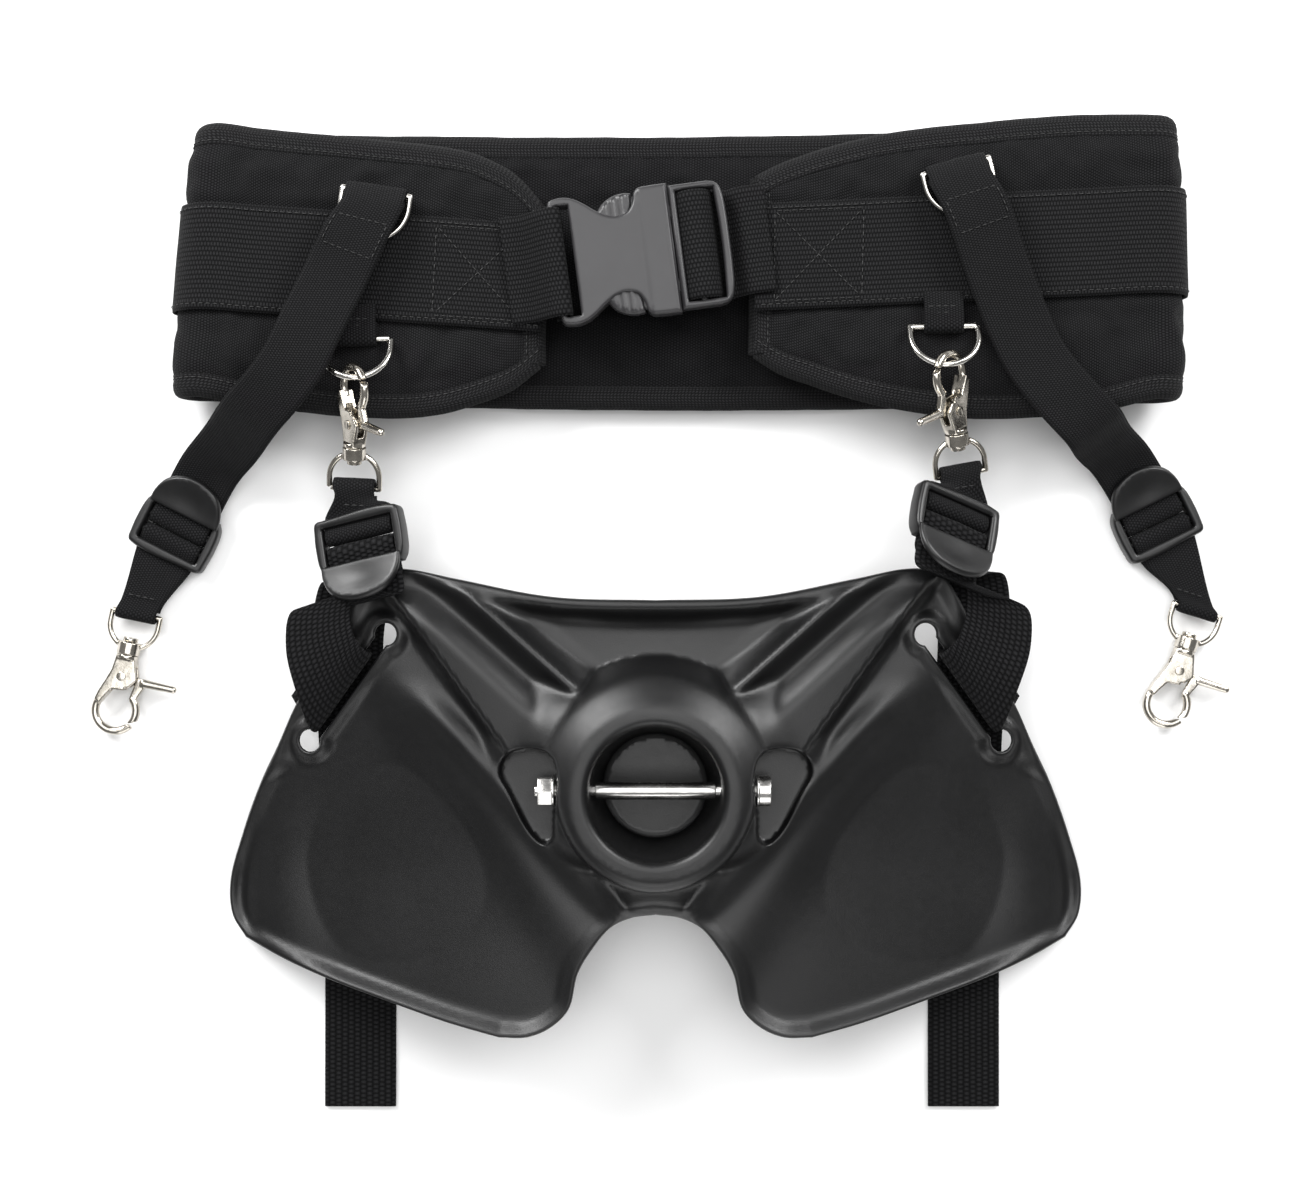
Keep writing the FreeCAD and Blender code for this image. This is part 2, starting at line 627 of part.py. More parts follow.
# ------------------------------------------------------------------ side straps
SIDE = {
    "left": {
        "lock": (-237.0, 20.5), "lock_up": (0.451, 0.893), "eye_bar": (-250.0, -6.8),
        "hook_up": (0.213, 0.977),
        "route": [(-223.5, 47.0, 5.0, -26.8), (-214.5, 62.0, 8.5, -30), (-201.0, 74.0, 22.0, -36),
                  (-187.5, 86.0, 40.0, -36), (-175.5, 97.0, 48.5, -31),
                  (-166.0, 109.0, 51.0, -27), (-158.0, 126.0, 50.0, -25),
                  (-146.5, 151.0, 46.0, -23), (-137.5, 170.5, 45.6, -17),
                  (-131.0, 182.3, 43.8, -9)],
    },
    "right": {
        "lock": (246.9, 25.1), "lock_up": (-0.44, 0.898), "eye_bar": (261.0, -5.0),
        "hook_up": (0.309, 0.951),
        "route": [(233.7, 52.0, 5.0, 26), (223.5, 66.5, 9.5, 30), (211.5, 74.5, 24.0, 35),
                  (203.0, 81.0, 38.5, 35), (189.0, 95.0, 42.0, 31),
                  (176.0, 112.0, 41.0, 25), (167.0, 131.0, 41.0, 22.5),
                  (156.5, 157.0, 43.5, 21.5), (147.2, 182.5, 45.6, 18),
                  (141.2, 194.2, 43.8, 15)],
    },
}
ROUTE_GAP = 0.25
EYE_REST_Z = 5.9


def flat_axis(angle):
    """Unit vector across a strap, in the table's plane."""
    return Vector(math.cos(math.radians(angle)), math.sin(math.radians(angle)), 0)


def build_side(side):
    """Long doubled strap, ladder lock, short eye loop and snap on one side."""
    data = SIDE[side]
    up = unit(*data["lock_up"], 0)
    across = up.cross(UP)
    place = frame_at(Vector(*data["lock"], 0), across, up)
    width = "sizes.side_webbing_width"
    build_lock(f"side_{side}_lock", width, place)
    half = size("side_webbing_width") / 2
    bar_gap = size("lock_bar") / 2 + size("side_wrap_gap")
    first = place.multVec(Vector(0, size("lock_bar_one"), size("lock_bar_z")))
    ring_x, ring_y, ring_angle = RINGS["upper_" + side]
    last = Vector(ring_x, ring_y, bar_height("upper_" + side))
    points = [first] + [Vector(x, y, z) for x, y, z, angle in data["route"]] + [last]
    angles = [math.degrees(math.atan2(across.y, across.x))]
    angles += [angle for x, y, z, angle in data["route"]] + [ring_angle]
    halves = [flat_axis(angle) * half for angle in angles]
    for index in (-1, -2):
        halves[index] = flat_axis(ring_angle) * (size("ring_inner") / 2 - size("gap"))
    gaps = [bar_gap] + [ROUTE_GAP] * (len(points) - 2)
    gaps.append(size("ring_wire") / 2 + size("side_wrap_gap"))
    keep(moulded(f"side_{side}_strap", double_band(points, halves, gaps, size("webbing"))),
         f"side_{side}_strap")
    second = place.multVec(Vector(0, size("lock_bar_two"), size("lock_bar_z")))
    bar = Vector(*data["eye_bar"], EYE_REST_Z)
    hook_up = unit(*data["hook_up"], 0)
    hook_across = hook_up.cross(UP)
    build_eye_loop(f"side_{side}_eye_loop", second, across * half, bar, hook_across,
                   size("side_wrap_gap"))
    hook_place = frame_at(bar - hook_up * size("eye_bar_y"), hook_across, hook_up)
    build_snap(f"side_{side}", hook_place)


def build_eye_loop(label, lock_bar, lock_half, eye_bar, eye_across, wrap_gap):
    """Short webbing loop from a ladder lock's lower bar to a swivel eye's bar."""
    eye_half = eye_across * (size("eye_outer") / 2 - size("eye_wire") - size("gap") * 2.5)
    run = (eye_bar - lock_bar).normalize()
    near_lock = lock_bar + run * (size("lock_bar_two") - 2.5)
    past_lock = lock_bar + run * (size("lock_bar_two") + 1.5)
    near_eye = eye_bar - run * 5.5
    points = [eye_bar, near_eye, past_lock, near_lock, lock_bar]
    halves = [eye_half, eye_half, lock_half * 0.96, lock_half, lock_half]
    lock_gap = size("lock_bar") / 2 + size("side_wrap_gap")
    eye_gap = size("eye_wire") / 2 + wrap_gap
    gaps = [eye_gap, eye_gap * 0.5, 0.3, 0.3, lock_gap]
    shape = double_band(points, halves, gaps, size("webbing"), 2.5)
    keep(moulded(label, shape), label)


# ------------------------------------------------------------------ drop straps
DROP = {
    "left": {
        "lock_across": (0.93, 0.208, 0.30), "lock_toward": (-0.22, -0.97, 0.02), "lean": 3.0,
        "front": [(-158.5, -6.0, 39.5, 14.8, 7.5, 1.0), (-155.5, -26.0, 38.0, 14.0, 11.0, 1.0)],
        "tail": [(-149.5, 8.0, 21.5), (-147.0, -20.0, 14.0), (-145.0, -60.0, 8.0),
                 (-143.5, -105.0, 2.4), (-142.8, -170.0, 0.5)],
    },
    "right": {
        "lock_across": (0.87, -0.34, -0.36), "lock_toward": (0.42, -0.9, 0.04), "lean": -10.0,
        "front": [(160.0, -6.0, 40.5, 14.8, -8.0, -1.0), (156.0, -26.0, 38.5, 14.0, -11.0, -1.0)],
        "tail": [(157.0, 11.0, 18.5), (152.0, -20.0, 13.0), (149.5, -60.0, 8.0),
                 (149.1, -105.0, 2.4), (149.1, -170.0, 0.5)],
    },
}
HOOK_SLOPE = 18.0
RING_IN_LOOP = 5.2
SLOT_TOP = (126.0, -16.0)
SLOT_LOW = (163.5, -66.5)


def drop_axes(side):
    """Direction from the ring down to the eye, and across it, for a drop snap."""
    lean = math.radians(DROP[side]["lean"])
    slope = math.radians(HOOK_SLOPE)
    down = Vector(-math.sin(lean) * math.cos(slope), -math.cos(lean) * math.cos(slope),
                  -math.sin(slope))
    across = Vector(-math.cos(lean), math.sin(lean), 0)
    return down, across


def plate_z(x):
    """Height of the gimbal plate's middle surface."""
    radius = size("plate_radius")
    return size("plate_crown_z") - radius + math.sqrt(radius ** 2 - x ** 2)


def build_drop(side):
    """Snap on the lower ring, short eye loop, ladder lock and drop strap on one side."""
    data = DROP[side]
    down, across = drop_axes(side)
    ring = ring_point("lower_" + side)
    reach = RING_IN_LOOP - size("hook_loop_y")
    origin = ring + down * reach
    build_snap("drop_" + side, frame_at(origin, across, down))
    eye_bar = origin + down * size("eye_bar_y")
    lock_across = unit(*data["lock_across"])
    toward = Vector(*data["lock_toward"])
    lock_up = (toward - lock_across * toward.dot(lock_across)).normalize()
    lock_across = lock_across * -1
    middle = eye_bar + lock_up * size("drop_loop_length")
    base = middle - lock_up * size("lock_bar_two")
    normal = lock_across.cross(lock_up)
    place = frame_at(base - normal * size("lock_bar_z"), lock_across, lock_up)
    width = "sizes.drop_webbing_width"
    build_lock(f"drop_{side}_lock", width, place)
    half = size("drop_webbing_width") / 2
    second = place.multVec(Vector(0, size("lock_bar_two"), size("lock_bar_z")))
    build_eye_loop(f"drop_{side}_eye_loop", second, lock_across * half, eye_bar, across,
                   size("drop_wrap_gap"))
    first = place.multVec(Vector(0, size("lock_bar_one"), size("lock_bar_z")))
    shape = drop_strap(side, data, first, lock_across * half, lock_up, normal)
    keep(moulded(f"drop_{side}_strap", shape), f"drop_{side}_strap")


def drop_strap(side, data, bar, half, away, normal):
    """Webbing from under the plate's edge, out through the slot, over the lock bar, and down
    behind the plate as a loose tail."""
    sign = -1 if side == "left" else 1
    slot_mid = Vector(sign * ((SLOT_TOP[0] + SLOT_LOW[0]) / 2 + 2.0),
                      (SLOT_TOP[1] + SLOT_LOW[1]) / 2 - 2.5, 0)
    slot_mid.z = plate_z(slot_mid.x)
    slope = -slot_mid.x / size("plate_radius")
    run = unit(SLOT_LOW[0] - SLOT_TOP[0], (SLOT_LOW[1] - SLOT_TOP[1]) * sign, 0)
    run.z = run.x * slope
    slot_across = run * 23.0
    out = Vector(sign * 0.8, 0.6, 0)
    out.z = out.x * slope
    up = UP
    edge = size("plate") / 2 + 1.2
    thickness = size("webbing")
    across = half if half.x > 0 else half * -1
    stations = [
        (slot_mid + out * 21 - up * (edge + 4.5), slot_across * 0.8, up * -1, 0.0),
        (slot_mid + out * 10 - up * (edge + 1.6), slot_across * 0.95, up * -1, 0.0),
        (slot_mid + out * 2.2 - up * (edge + 0.2), slot_across,
         (up * -1 - out * 0.5).normalize(), 0.0),
        (slot_mid + out * 0.9, slot_across, out * -1, 0.0),
        (slot_mid + out * 2.2 + up * (edge + 0.6), slot_across,
         (up - out * 0.5).normalize(), 0.0),
    ]
    for x, y, z, half_x, half_y, half_z in reversed(data["front"]):
        stations.append((Vector(x, y, z), Vector(half_x, half_y, half_z), up, 0.0))
    face = normal if normal.z > 0 else normal * -1
    radius = size("lock_bar") / 2 + size("side_wrap_gap")
    stations.append((bar + away * 25 + face * 1.2, across, face, 0.0))
    stations.append((bar + away * 6 + face * 1.0, across, face, 0.0))
    stations += wrap(bar, across, face, away * -1, radius)
    stations.append((bar + away * 6 - face * 1.0, across, face * -1, 0.0))
    stations.append((bar + away * 14 - face * 1.2, across, face * -1, 0.0))
    tail_half = RIGHT * (size("drop_webbing_width") / 2)
    for x, y, z in data["tail"]:
        stations.append((Vector(x, y, z), tail_half, up * -1, -thickness))
    x, y, z = data["tail"][-1]
    stations.append((Vector(x, size("tail_end_y"), z), tail_half, up * -1, -thickness))
    return band(stations, thickness)


# ------------------------------------------------------------------ gimbal plate
OUTLINE_TOP = [(0, 0), (47, 1.5), (93, 10), (116, 14.5), (126, 14.5), (135, 11.5), (143, 0)]
OUTLINE_SIDE = [(143, 0), (161, -34), (171, -50), (180, -69), (189, -87), (199, -113),
                (205.5, -137), (204, -152), (197, -162)]
OUTLINE_LOW = [(197, -162), (176, -167), (158, -177), (126, -187), (95, -196), (72, -201.5)]
OUTLINE_NOTCH = [(72, -201.5), (59, -201), (48.5, -196.5), (40, -188), (35.5, -171), (29, -160),
                 (20.5, -150), (11, -145.5), (0, -144)]


def plate_outline():
    """Closed outline of the plate, the same on both sides of its middle."""
    wide = size("plate_width") / 411.0
    tall = size("plate_height") / 201.0
    edges = []
    for sign in (1, -1):
        for stretch in (OUTLINE_TOP, OUTLINE_SIDE, OUTLINE_LOW, OUTLINE_NOTCH):
            curve = Part.BSplineCurve()
            curve.interpolate([Vector(sign * x * wide, y * tall, 0) for x, y in stretch])
            edges.append(curve.toShape())
    return Part.Face(Part.Wire(Part.__sortEdges__(edges)))


def strap_slot(sign):
    """Slanted webbing slot with a rounded bulb at each end."""
    name = "slot_left" if sign < 0 else "slot_right"
    top = Vector(sign * SLOT_TOP[0], SLOT_TOP[1], 0)
    low = Vector(sign * SLOT_LOW[0], SLOT_LOW[1], 0)
    run = low - top
    angle = math.degrees(math.atan2(run.y, run.x))
    half = size("slot_width") / 2
    corner = Placement(top, Rotation(UP, angle)).multiply(at(0, -half, 0))
    slit = solid("Part::Box", name + "_slit", corner,
                 Length=str(run.Length), Width="sizes.slot_width", Height="80")
    ends = [solid("Part::Cylinder", f"{name}_bulb_{index}", Placement(spot, Rotation()),
                  Radius="sizes.slot_bulb / 2", Height="80")
            for index, spot in enumerate((top, low))]
    return joined(name, [slit] + ends)


def build_plate():
    """Curved shell with the gimbal cup, its cross-pin holes, bolt pockets and strap slots."""
    face = moulded("plate_outline", plate_outline())
    blank = doc.addObject("Part::Extrusion", "plate_blank")
    blank.Base = face
    blank.DirMode = "Custom"
    blank.Dir = UP
    blank.LengthFwd = 90
    blank.Solid = True
    centre_z = size("plate_crown_z") - size("plate_radius")
    start = along(FORWARD, Vector(0, -230, centre_z))
    outer = solid("Part::Cylinder", "plate_outer", start,
                  Radius="sizes.plate_radius + sizes.plate / 2", Height="270")
    inner = solid("Part::Cylinder", "plate_inner", start,
                  Radius="sizes.plate_radius - sizes.plate / 2", Height="270")
    shell = common("plate_shell", blank, cut("plate_curve", outer, inner))
    cup_y = size("cup_y")
    saddle = solid("Part::Cone", "saddle_cone", at(0, cup_y, size("saddle_low_z")),
                   Radius1="sizes.saddle_base / 2", Radius2="sizes.boss_base / 2",
                   Height="sizes.saddle_high_z - sizes.saddle_low_z")
    saddle = common("saddle", saddle, blank)
    boss = solid("Part::Cone", "cup_boss", at(0, cup_y, size("plate_crown_z") - 2),
                 Radius1="sizes.boss_base / 2",
                 Radius2="sizes.cup_mouth / 2 + sizes.cup_wall",
                 Height="sizes.cup_rim_z - sizes.plate_crown_z + 2")
    bowl = solid("Part::Cone", "cup_bowl", at(0, cup_y, size("cup_floor_z") - size("cup_wall")),
                 Radius1="sizes.cup_floor / 2 + sizes.cup_wall",
                 Radius2="sizes.cup_bore / 2 + sizes.cup_wall",
                 Height="sizes.cup_bore_low_z - sizes.cup_floor_z + sizes.cup_wall")
    body = joined("plate_body", [shell, saddle, boss, bowl])
    tools = [
        solid("Part::Cone", "cup_taper", at(0, cup_y, size("cup_floor_z")),
              Radius1="sizes.cup_floor / 2", Radius2="sizes.cup_bore / 2",
              Height="sizes.cup_bore_low_z - sizes.cup_floor_z"),
        solid("Part::Cylinder", "cup_bore_cut", at(0, cup_y, size("cup_bore_low_z")),
              Radius="sizes.cup_bore / 2",
              Height="sizes.cup_bore_high_z - sizes.cup_bore_low_z"),
        solid("Part::Cone", "cup_flare", at(0, cup_y, size("cup_bore_high_z")),
              Radius1="sizes.cup_bore / 2", Radius2="sizes.cup_mouth / 2",
              Height="sizes.cup_rim_z - sizes.cup_bore_high_z"),
        solid("Part::Cylinder", "pin_hole", along(RIGHT, Vector(-80, cup_y, size("pin_z"))),
              Radius="sizes.bolt_hole / 2", Height="160"),
        strap_slot(-1), strap_slot(1),
    ]
    for sign, side in ((-1, "left"), (1, "right")):
        near = f"{sign} * sizes.pocket_wall_x"
        far = f"{sign} * sizes.pocket_outer_x"
        corners = [(near, "sizes.pocket_top_y"), (near, "sizes.pocket_low_y"),
                   (far, "sizes.pocket_top_y - 4")]
        tools.append(prism("pocket_" + side, corners, "sizes.pocket_floor_z", "90"))
    keep(cut("plate", body, joined("plate_tools", tools)), "gimbal_plate")


def build_pin():
    """Bolt, rolling sleeve, washers and lock nut across the gimbal cup."""
    y = size("cup_y")
    z = size("pin_z")
    wall = size("pocket_wall_x")
    washer = size("washer")
    far = wall + washer + size("nut")
    shank = solid("Part::Cylinder", "bolt_shank", along(RIGHT, Vector(-far - 1.5, y, z)),
                  Radius="sizes.bolt_diameter / 2", Height=str(far + 1.5 + wall + washer))
    head = solid("Part::Cylinder", "bolt_head", along(RIGHT, Vector(wall + washer, y, z)),
                 Radius="sizes.bolt_across / 2", Height="sizes.bolt_head")
    socket = solid("Part::Prism", "bolt_socket",
                   along(RIGHT, Vector(wall + washer + size("bolt_head") - 3, y, z)),
                   Circumradius="sizes.bolt_diameter / 2 + 0.4", Height="4")
    keep(cut("gimbal_bolt", joined("bolt_solid", [shank, head]), socket), "gimbal_bolt")
    nut = solid("Part::Prism", "nut_hex", along(RIGHT, Vector(-far, y, z)),
                Circumradius="sizes.bolt_across / 2", Height="sizes.nut")
    hole = solid("Part::Cylinder", "nut_hole", along(RIGHT, Vector(-far - 1, y, z)),
                 Radius="sizes.bolt_diameter / 2", Height="12")
    keep(cut("lock_nut", nut, hole), "lock_nut")
    for side, start in (("left", -wall - washer), ("right", wall)):
        disc = solid("Part::Cylinder", f"washer_{side}_disc", along(RIGHT, Vector(start, y, z)),
                     Radius="sizes.washer_diameter / 2", Height="sizes.washer")
        bore = solid("Part::Cylinder", f"washer_{side}_bore",
                     along(RIGHT, Vector(start - 1, y, z)),
                     Radius="sizes.bolt_diameter / 2", Height="4")
        keep(cut(f"washer_{side}", disc, bore), f"washer_{side}")
    clear = size("sleeve_end_gap")
    taper = (size("cup_bore") - size("cup_floor")) / 2
    rise = (z - size("sleeve_diameter") / 2 - size("cup_floor_z"))
    reach = size("cup_floor") / 2 + taper * rise / (size("cup_bore_low_z") - size("cup_floor_z"))
    inner = math.sqrt(reach ** 2 - (size("sleeve_diameter") / 2) ** 2) - clear
    tube = solid("Part::Cylinder", "sleeve_outer", along(RIGHT, Vector(-inner, y, z)),
                 Radius="sizes.sleeve_diameter / 2", Height=str(2 * inner))
    core = solid("Part::Cylinder", "sleeve_inner", along(RIGHT, Vector(-inner - 1, y, z)),
                 Radius="sizes.bolt_diameter / 2 + sizes.sleeve_gap", Height=str(2 * inner + 2))
    keep(cut("gimbal_sleeve", tube, core), "gimbal_sleeve")


# ------------------------------------------------------------------ side-release buckle
BUCKLE_MIDDLE = (-6.2, 161.1)
SOCKET_WEB = [(-43.5, -6.5), (-38.6, -6.5), (-37.2, -5.6), (-37.0, 0), (-37.2, 5.6), (-38.2, 6.5),
              (-42, 6.5), (-46, 4.0), (-50, 0.6), (-54, -2.0), (-58, -2.4), (-64, -2.4)]
PLUG_WEB = [(60, -2.3), (49, -2.4), (45.5, -4.8), (43, -6.6), (41, -6.9), (36.5, -6.9),
            (32, -4.5), (29.5, 0.5), (27.6, 2.2), (26, 2.7), (24.3, 2.2), (23.4, 0), (24.2, -2.4),
            (27, -5.5), (31.5, -8.8), (36.5, -8.9), (41, -8.9)]


def build_buckle():
    """Socket and plug frame held by the waist webbing, with two sprung prongs."""
    place = at(*BUCKLE_MIDDLE, size("buckle_z"), UP, size("buckle_angle"))
    half = "sizes.buckle_height / 2"
    thick = "sizes.buckle_thickness / 2"
    wall = "sizes.buckle_wall"
    outline = [("-41", f"-{half}"), ("-31", f"-{half} + 1"), ("-24", f"-{half} + 7"),
               ("-18", f"-{half} + 9"), ("-6", f"-{half} + 5"), ("1", f"-{half} + 1"),
               ("15", f"-{half}"), ("15", half), ("1", f"{half} - 1"), ("-6", f"{half} - 5"),
               ("-18", f"{half} - 9"), ("-24", f"{half} - 7"), ("-31", f"{half} - 1"),
               ("-41", half)]
    socket = prism("socket_block", outline, f"-{thick}", thick)
    inner = f"({thick} - {wall})"
    cavity = prism("socket_cavity", [("-24", f"-{half} + 14"), ("-10", f"-{half} - 2"),
                                     ("1", f"-{half} - 2"), ("1", f"-{half} + {wall}"),
                                     ("16", f"-{half} + {wall}"), ("16", f"{half} - {wall}"),
                                     ("1", f"{half} - {wall}"), ("1", f"{half} + 2"),
                                     ("-10", f"{half} + 2"), ("-24", f"{half} - 14")],
                   f"-{inner}", inner)
    slot = prism("socket_slot", [("-38", "-25.8"), ("-31.5", "-25.8"), ("-31.5", "25.8"),
                                 ("-38", "25.8")], "-10", "10")
    keep(cut("buckle_socket", socket, joined("socket_tools", [cavity, slot])), "buckle_socket",
         place)
    body = prism("plug_body", [("15.4", f"-{half} + 1.2"), ("36", f"-{half} + 1.2"),
                               ("41", f"-{half} + 6"), ("41", f"{half} - 6"),
                               ("36", f"{half} - 1.2"), ("15.4", f"{half} - 1.2")],
                 f"-{thick} + 1", f"{thick} - 1")
    window = prism("plug_window", [("19", "-25.8"), ("37", "-25.8"), ("37", "25.8"),
                                   ("19", "25.8")], "-10", "10")
    bar = solid("Part::Cylinder", "plug_bar", along(FORWARD, Vector(26, -26.5, 0)),
                Radius="sizes.buckle_bar / 2", Height="53")
    tongue = prism("plug_tongue", [("-16", "-4"), ("16", "-4"), ("16", "4"), ("-16", "4")],
                   "-sizes.prong_thickness / 2", "sizes.prong_thickness / 2")
    frame = joined("plug_frame", [cut("plug_rim", body, window), bar, tongue])
    roots = joined("prong_roots", [
        prism(f"prong_root_cut_{index}",
              [("14.8", low), ("16.6", low), ("16.6", high), ("14.8", high)], "-3.2", "3.2")
        for index, (low, high) in enumerate((("12.5", "22"), ("-22", "-12.5")))])
    keep(cut("buckle_plug", frame, roots), "buckle_plug", place)
    for sign, label in ((1, "upper_prong"), (-1, "lower_prong")):
        side = "" if sign > 0 else "-"
        prong = prism(label, [("16.2", f"{side}(14.0)"), ("16.2", f"{side}(20.5)"),
                              ("6", f"{side}(22.5)"), ("0.3", f"{side}({half} - 3.5)"),
                              ("-7.5", f"{side}({half} - 4.8)"), ("-15", f"{side}({half} - 9.5)"),
                              ("-18.5", f"{side}(17.5)"), ("-18.5", f"{side}(13.5)"),
                              ("-6", f"{side}(17)")],
                      "-sizes.prong_thickness / 2", "sizes.prong_thickness / 2")
        keep(prong, label, place)
    web_loop("socket_web", SOCKET_WEB, place)
    web_loop("plug_web", PLUG_WEB, place)


def web_loop(label, path, place):
    """Webbing between a flap and the buckle, through points of the buckle's own X and Z."""
    half = FORWARD * (size("waist_webbing_width") / 2)
    points = [Vector(x, 0, z) for x, z in path]
    stations = []
    for index, point in enumerate(points):
        before = points[max(index - 1, 0)]
        after = points[min(index + 1, len(points) - 1)]
        stations.append((point, half, half.cross(after - before).normalize(), 0.0))
    keep(moulded(label, band(stations, size("webbing"))), label, place)


# ------------------------------------------------------------------ assembly
def main():
    build_belt()
    build_rings()
    build_buckle()
    for side in ("left", "right"):
        build_side(side)
    for side in ("left", "right"):
        build_drop(side)
    build_plate()
    build_pin()
    doc.recompute()
    failed = [item.Name for item in doc.Objects
              if {"Invalid", "Error"} & set(item.State)]
    bad = [item.Label for item in nodes if item.Shape.isNull() or not item.Shape.isValid()]
    if failed or bad:
        raise RuntimeError(f"failed objects {failed}, bad shapes {bad}")
    whole = FreeCAD.BoundBox()
    for item in nodes:
        whole.add(item.Shape.BoundBox)
    shift = Vector(-whole.Center.x, -whole.Center.y, -whole.ZMin)
    os.makedirs("parts", exist_ok=True)
    for item in nodes:
        item.Placement = Placement(item.Placement.Base + shift, item.Placement.Rotation)
        item.Shape.exportStep(f"parts/{item.Label}.step")
    print("nodes", len(nodes), "box", whole.XLength, whole.YLength, whole.ZLength)
    print("shift", tuple(round(value, 4) for value in shift))
    print_places(shift)


def print_places(shift):
    """Joint centres and axes in the finished frame, for whoever writes the record."""
    def show(label, point):
        print("place", label, *[round(value, 4) for value in point + shift])

    for key in RINGS:
        show(key + "_bar", ring_place(key).Base)
        show(key + "_low", ring_point(key))
    for key, place in HOOKS.items():
        show(key + "_origin", place.Base)
        show(key + "_eye_bar", place.multVec(Vector(0, size("eye_bar_y"), 0)))
        show(key + "_rivet", place.multVec(Vector(0, size("rivet_y"), 0)))
        show(key + "_loop", place.multVec(Vector(0, size("hook_loop_y"), 0)))
        for name, axis in (("x", RIGHT), ("y", FORWARD), ("z", UP)):
            turned = place.Rotation.multVec(axis)
            print("axis", f"{key}_{name}", *[round(value, 6) for value in turned])
    for side, data in SIDE.items():
        up = unit(*data["lock_up"], 0)
        place = frame_at(Vector(*data["lock"], 0), up.cross(UP), up)
        show(f"side_{side}_lock_bar", place.multVec(Vector(0, size("lock_bar_one"),
                                                           size("lock_bar_z"))))
    show("cup", Vector(0, size("cup_y"), size("pin_z")))
    show("buckle", Vector(*BUCKLE_MIDDLE, size("buckle_z")))
    show("zero", Vector(0, 0, 0))


main()
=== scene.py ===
"""Fighting belt with gimbal plate: the visible model, in the CAD frame, in metres."""
import json
import math
from contextlib import contextmanager

import bmesh
import bpy
import numpy as np
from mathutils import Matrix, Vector
from mathutils.geometry import delaunay_2d_cdt


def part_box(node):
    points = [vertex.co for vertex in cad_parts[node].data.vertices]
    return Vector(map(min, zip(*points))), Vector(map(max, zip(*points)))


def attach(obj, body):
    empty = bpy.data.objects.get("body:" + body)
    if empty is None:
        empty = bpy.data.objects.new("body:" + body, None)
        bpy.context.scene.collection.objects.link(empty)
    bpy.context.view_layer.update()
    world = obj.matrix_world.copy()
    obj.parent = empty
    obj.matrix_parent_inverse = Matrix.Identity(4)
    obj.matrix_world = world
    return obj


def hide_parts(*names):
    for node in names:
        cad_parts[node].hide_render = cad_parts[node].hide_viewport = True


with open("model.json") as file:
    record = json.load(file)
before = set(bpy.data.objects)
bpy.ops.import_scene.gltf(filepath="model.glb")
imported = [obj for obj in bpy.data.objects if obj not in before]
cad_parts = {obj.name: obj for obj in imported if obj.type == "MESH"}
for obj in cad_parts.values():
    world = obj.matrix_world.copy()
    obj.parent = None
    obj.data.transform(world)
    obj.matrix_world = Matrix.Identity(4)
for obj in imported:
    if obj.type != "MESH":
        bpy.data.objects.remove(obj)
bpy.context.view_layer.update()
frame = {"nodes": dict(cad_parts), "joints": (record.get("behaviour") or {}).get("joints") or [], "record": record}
nodes = frame["nodes"]
record = frame["record"]

MM = 0.001
CUP = next(m for m in record["mounts"] if m["name"] == "gimbal_cup")["pos_m"]
ZERO = np.array(CUP) * 1000 - np.array([0.0, -87.0, 65.0])  # layout origin, in mm
joint = {j["name"]: j for j in frame["joints"]}
scene = bpy.context.scene
UP = np.array([0.0, 0.0, 1.0])
TAPE = 1.6  # webbing thickness, mm
WAIST_HALF, SIDE_HALF, DROP_HALF = 25.0, 14.5, 17.0  # half widths of the three webbings, mm
PAPER_Z = -0.0004  # the floor, just under the part, m
VIEW_HEIGHT, VIEW_WIDTH = 900.0, 635.8  # camera height and the width it sees on the floor, mm


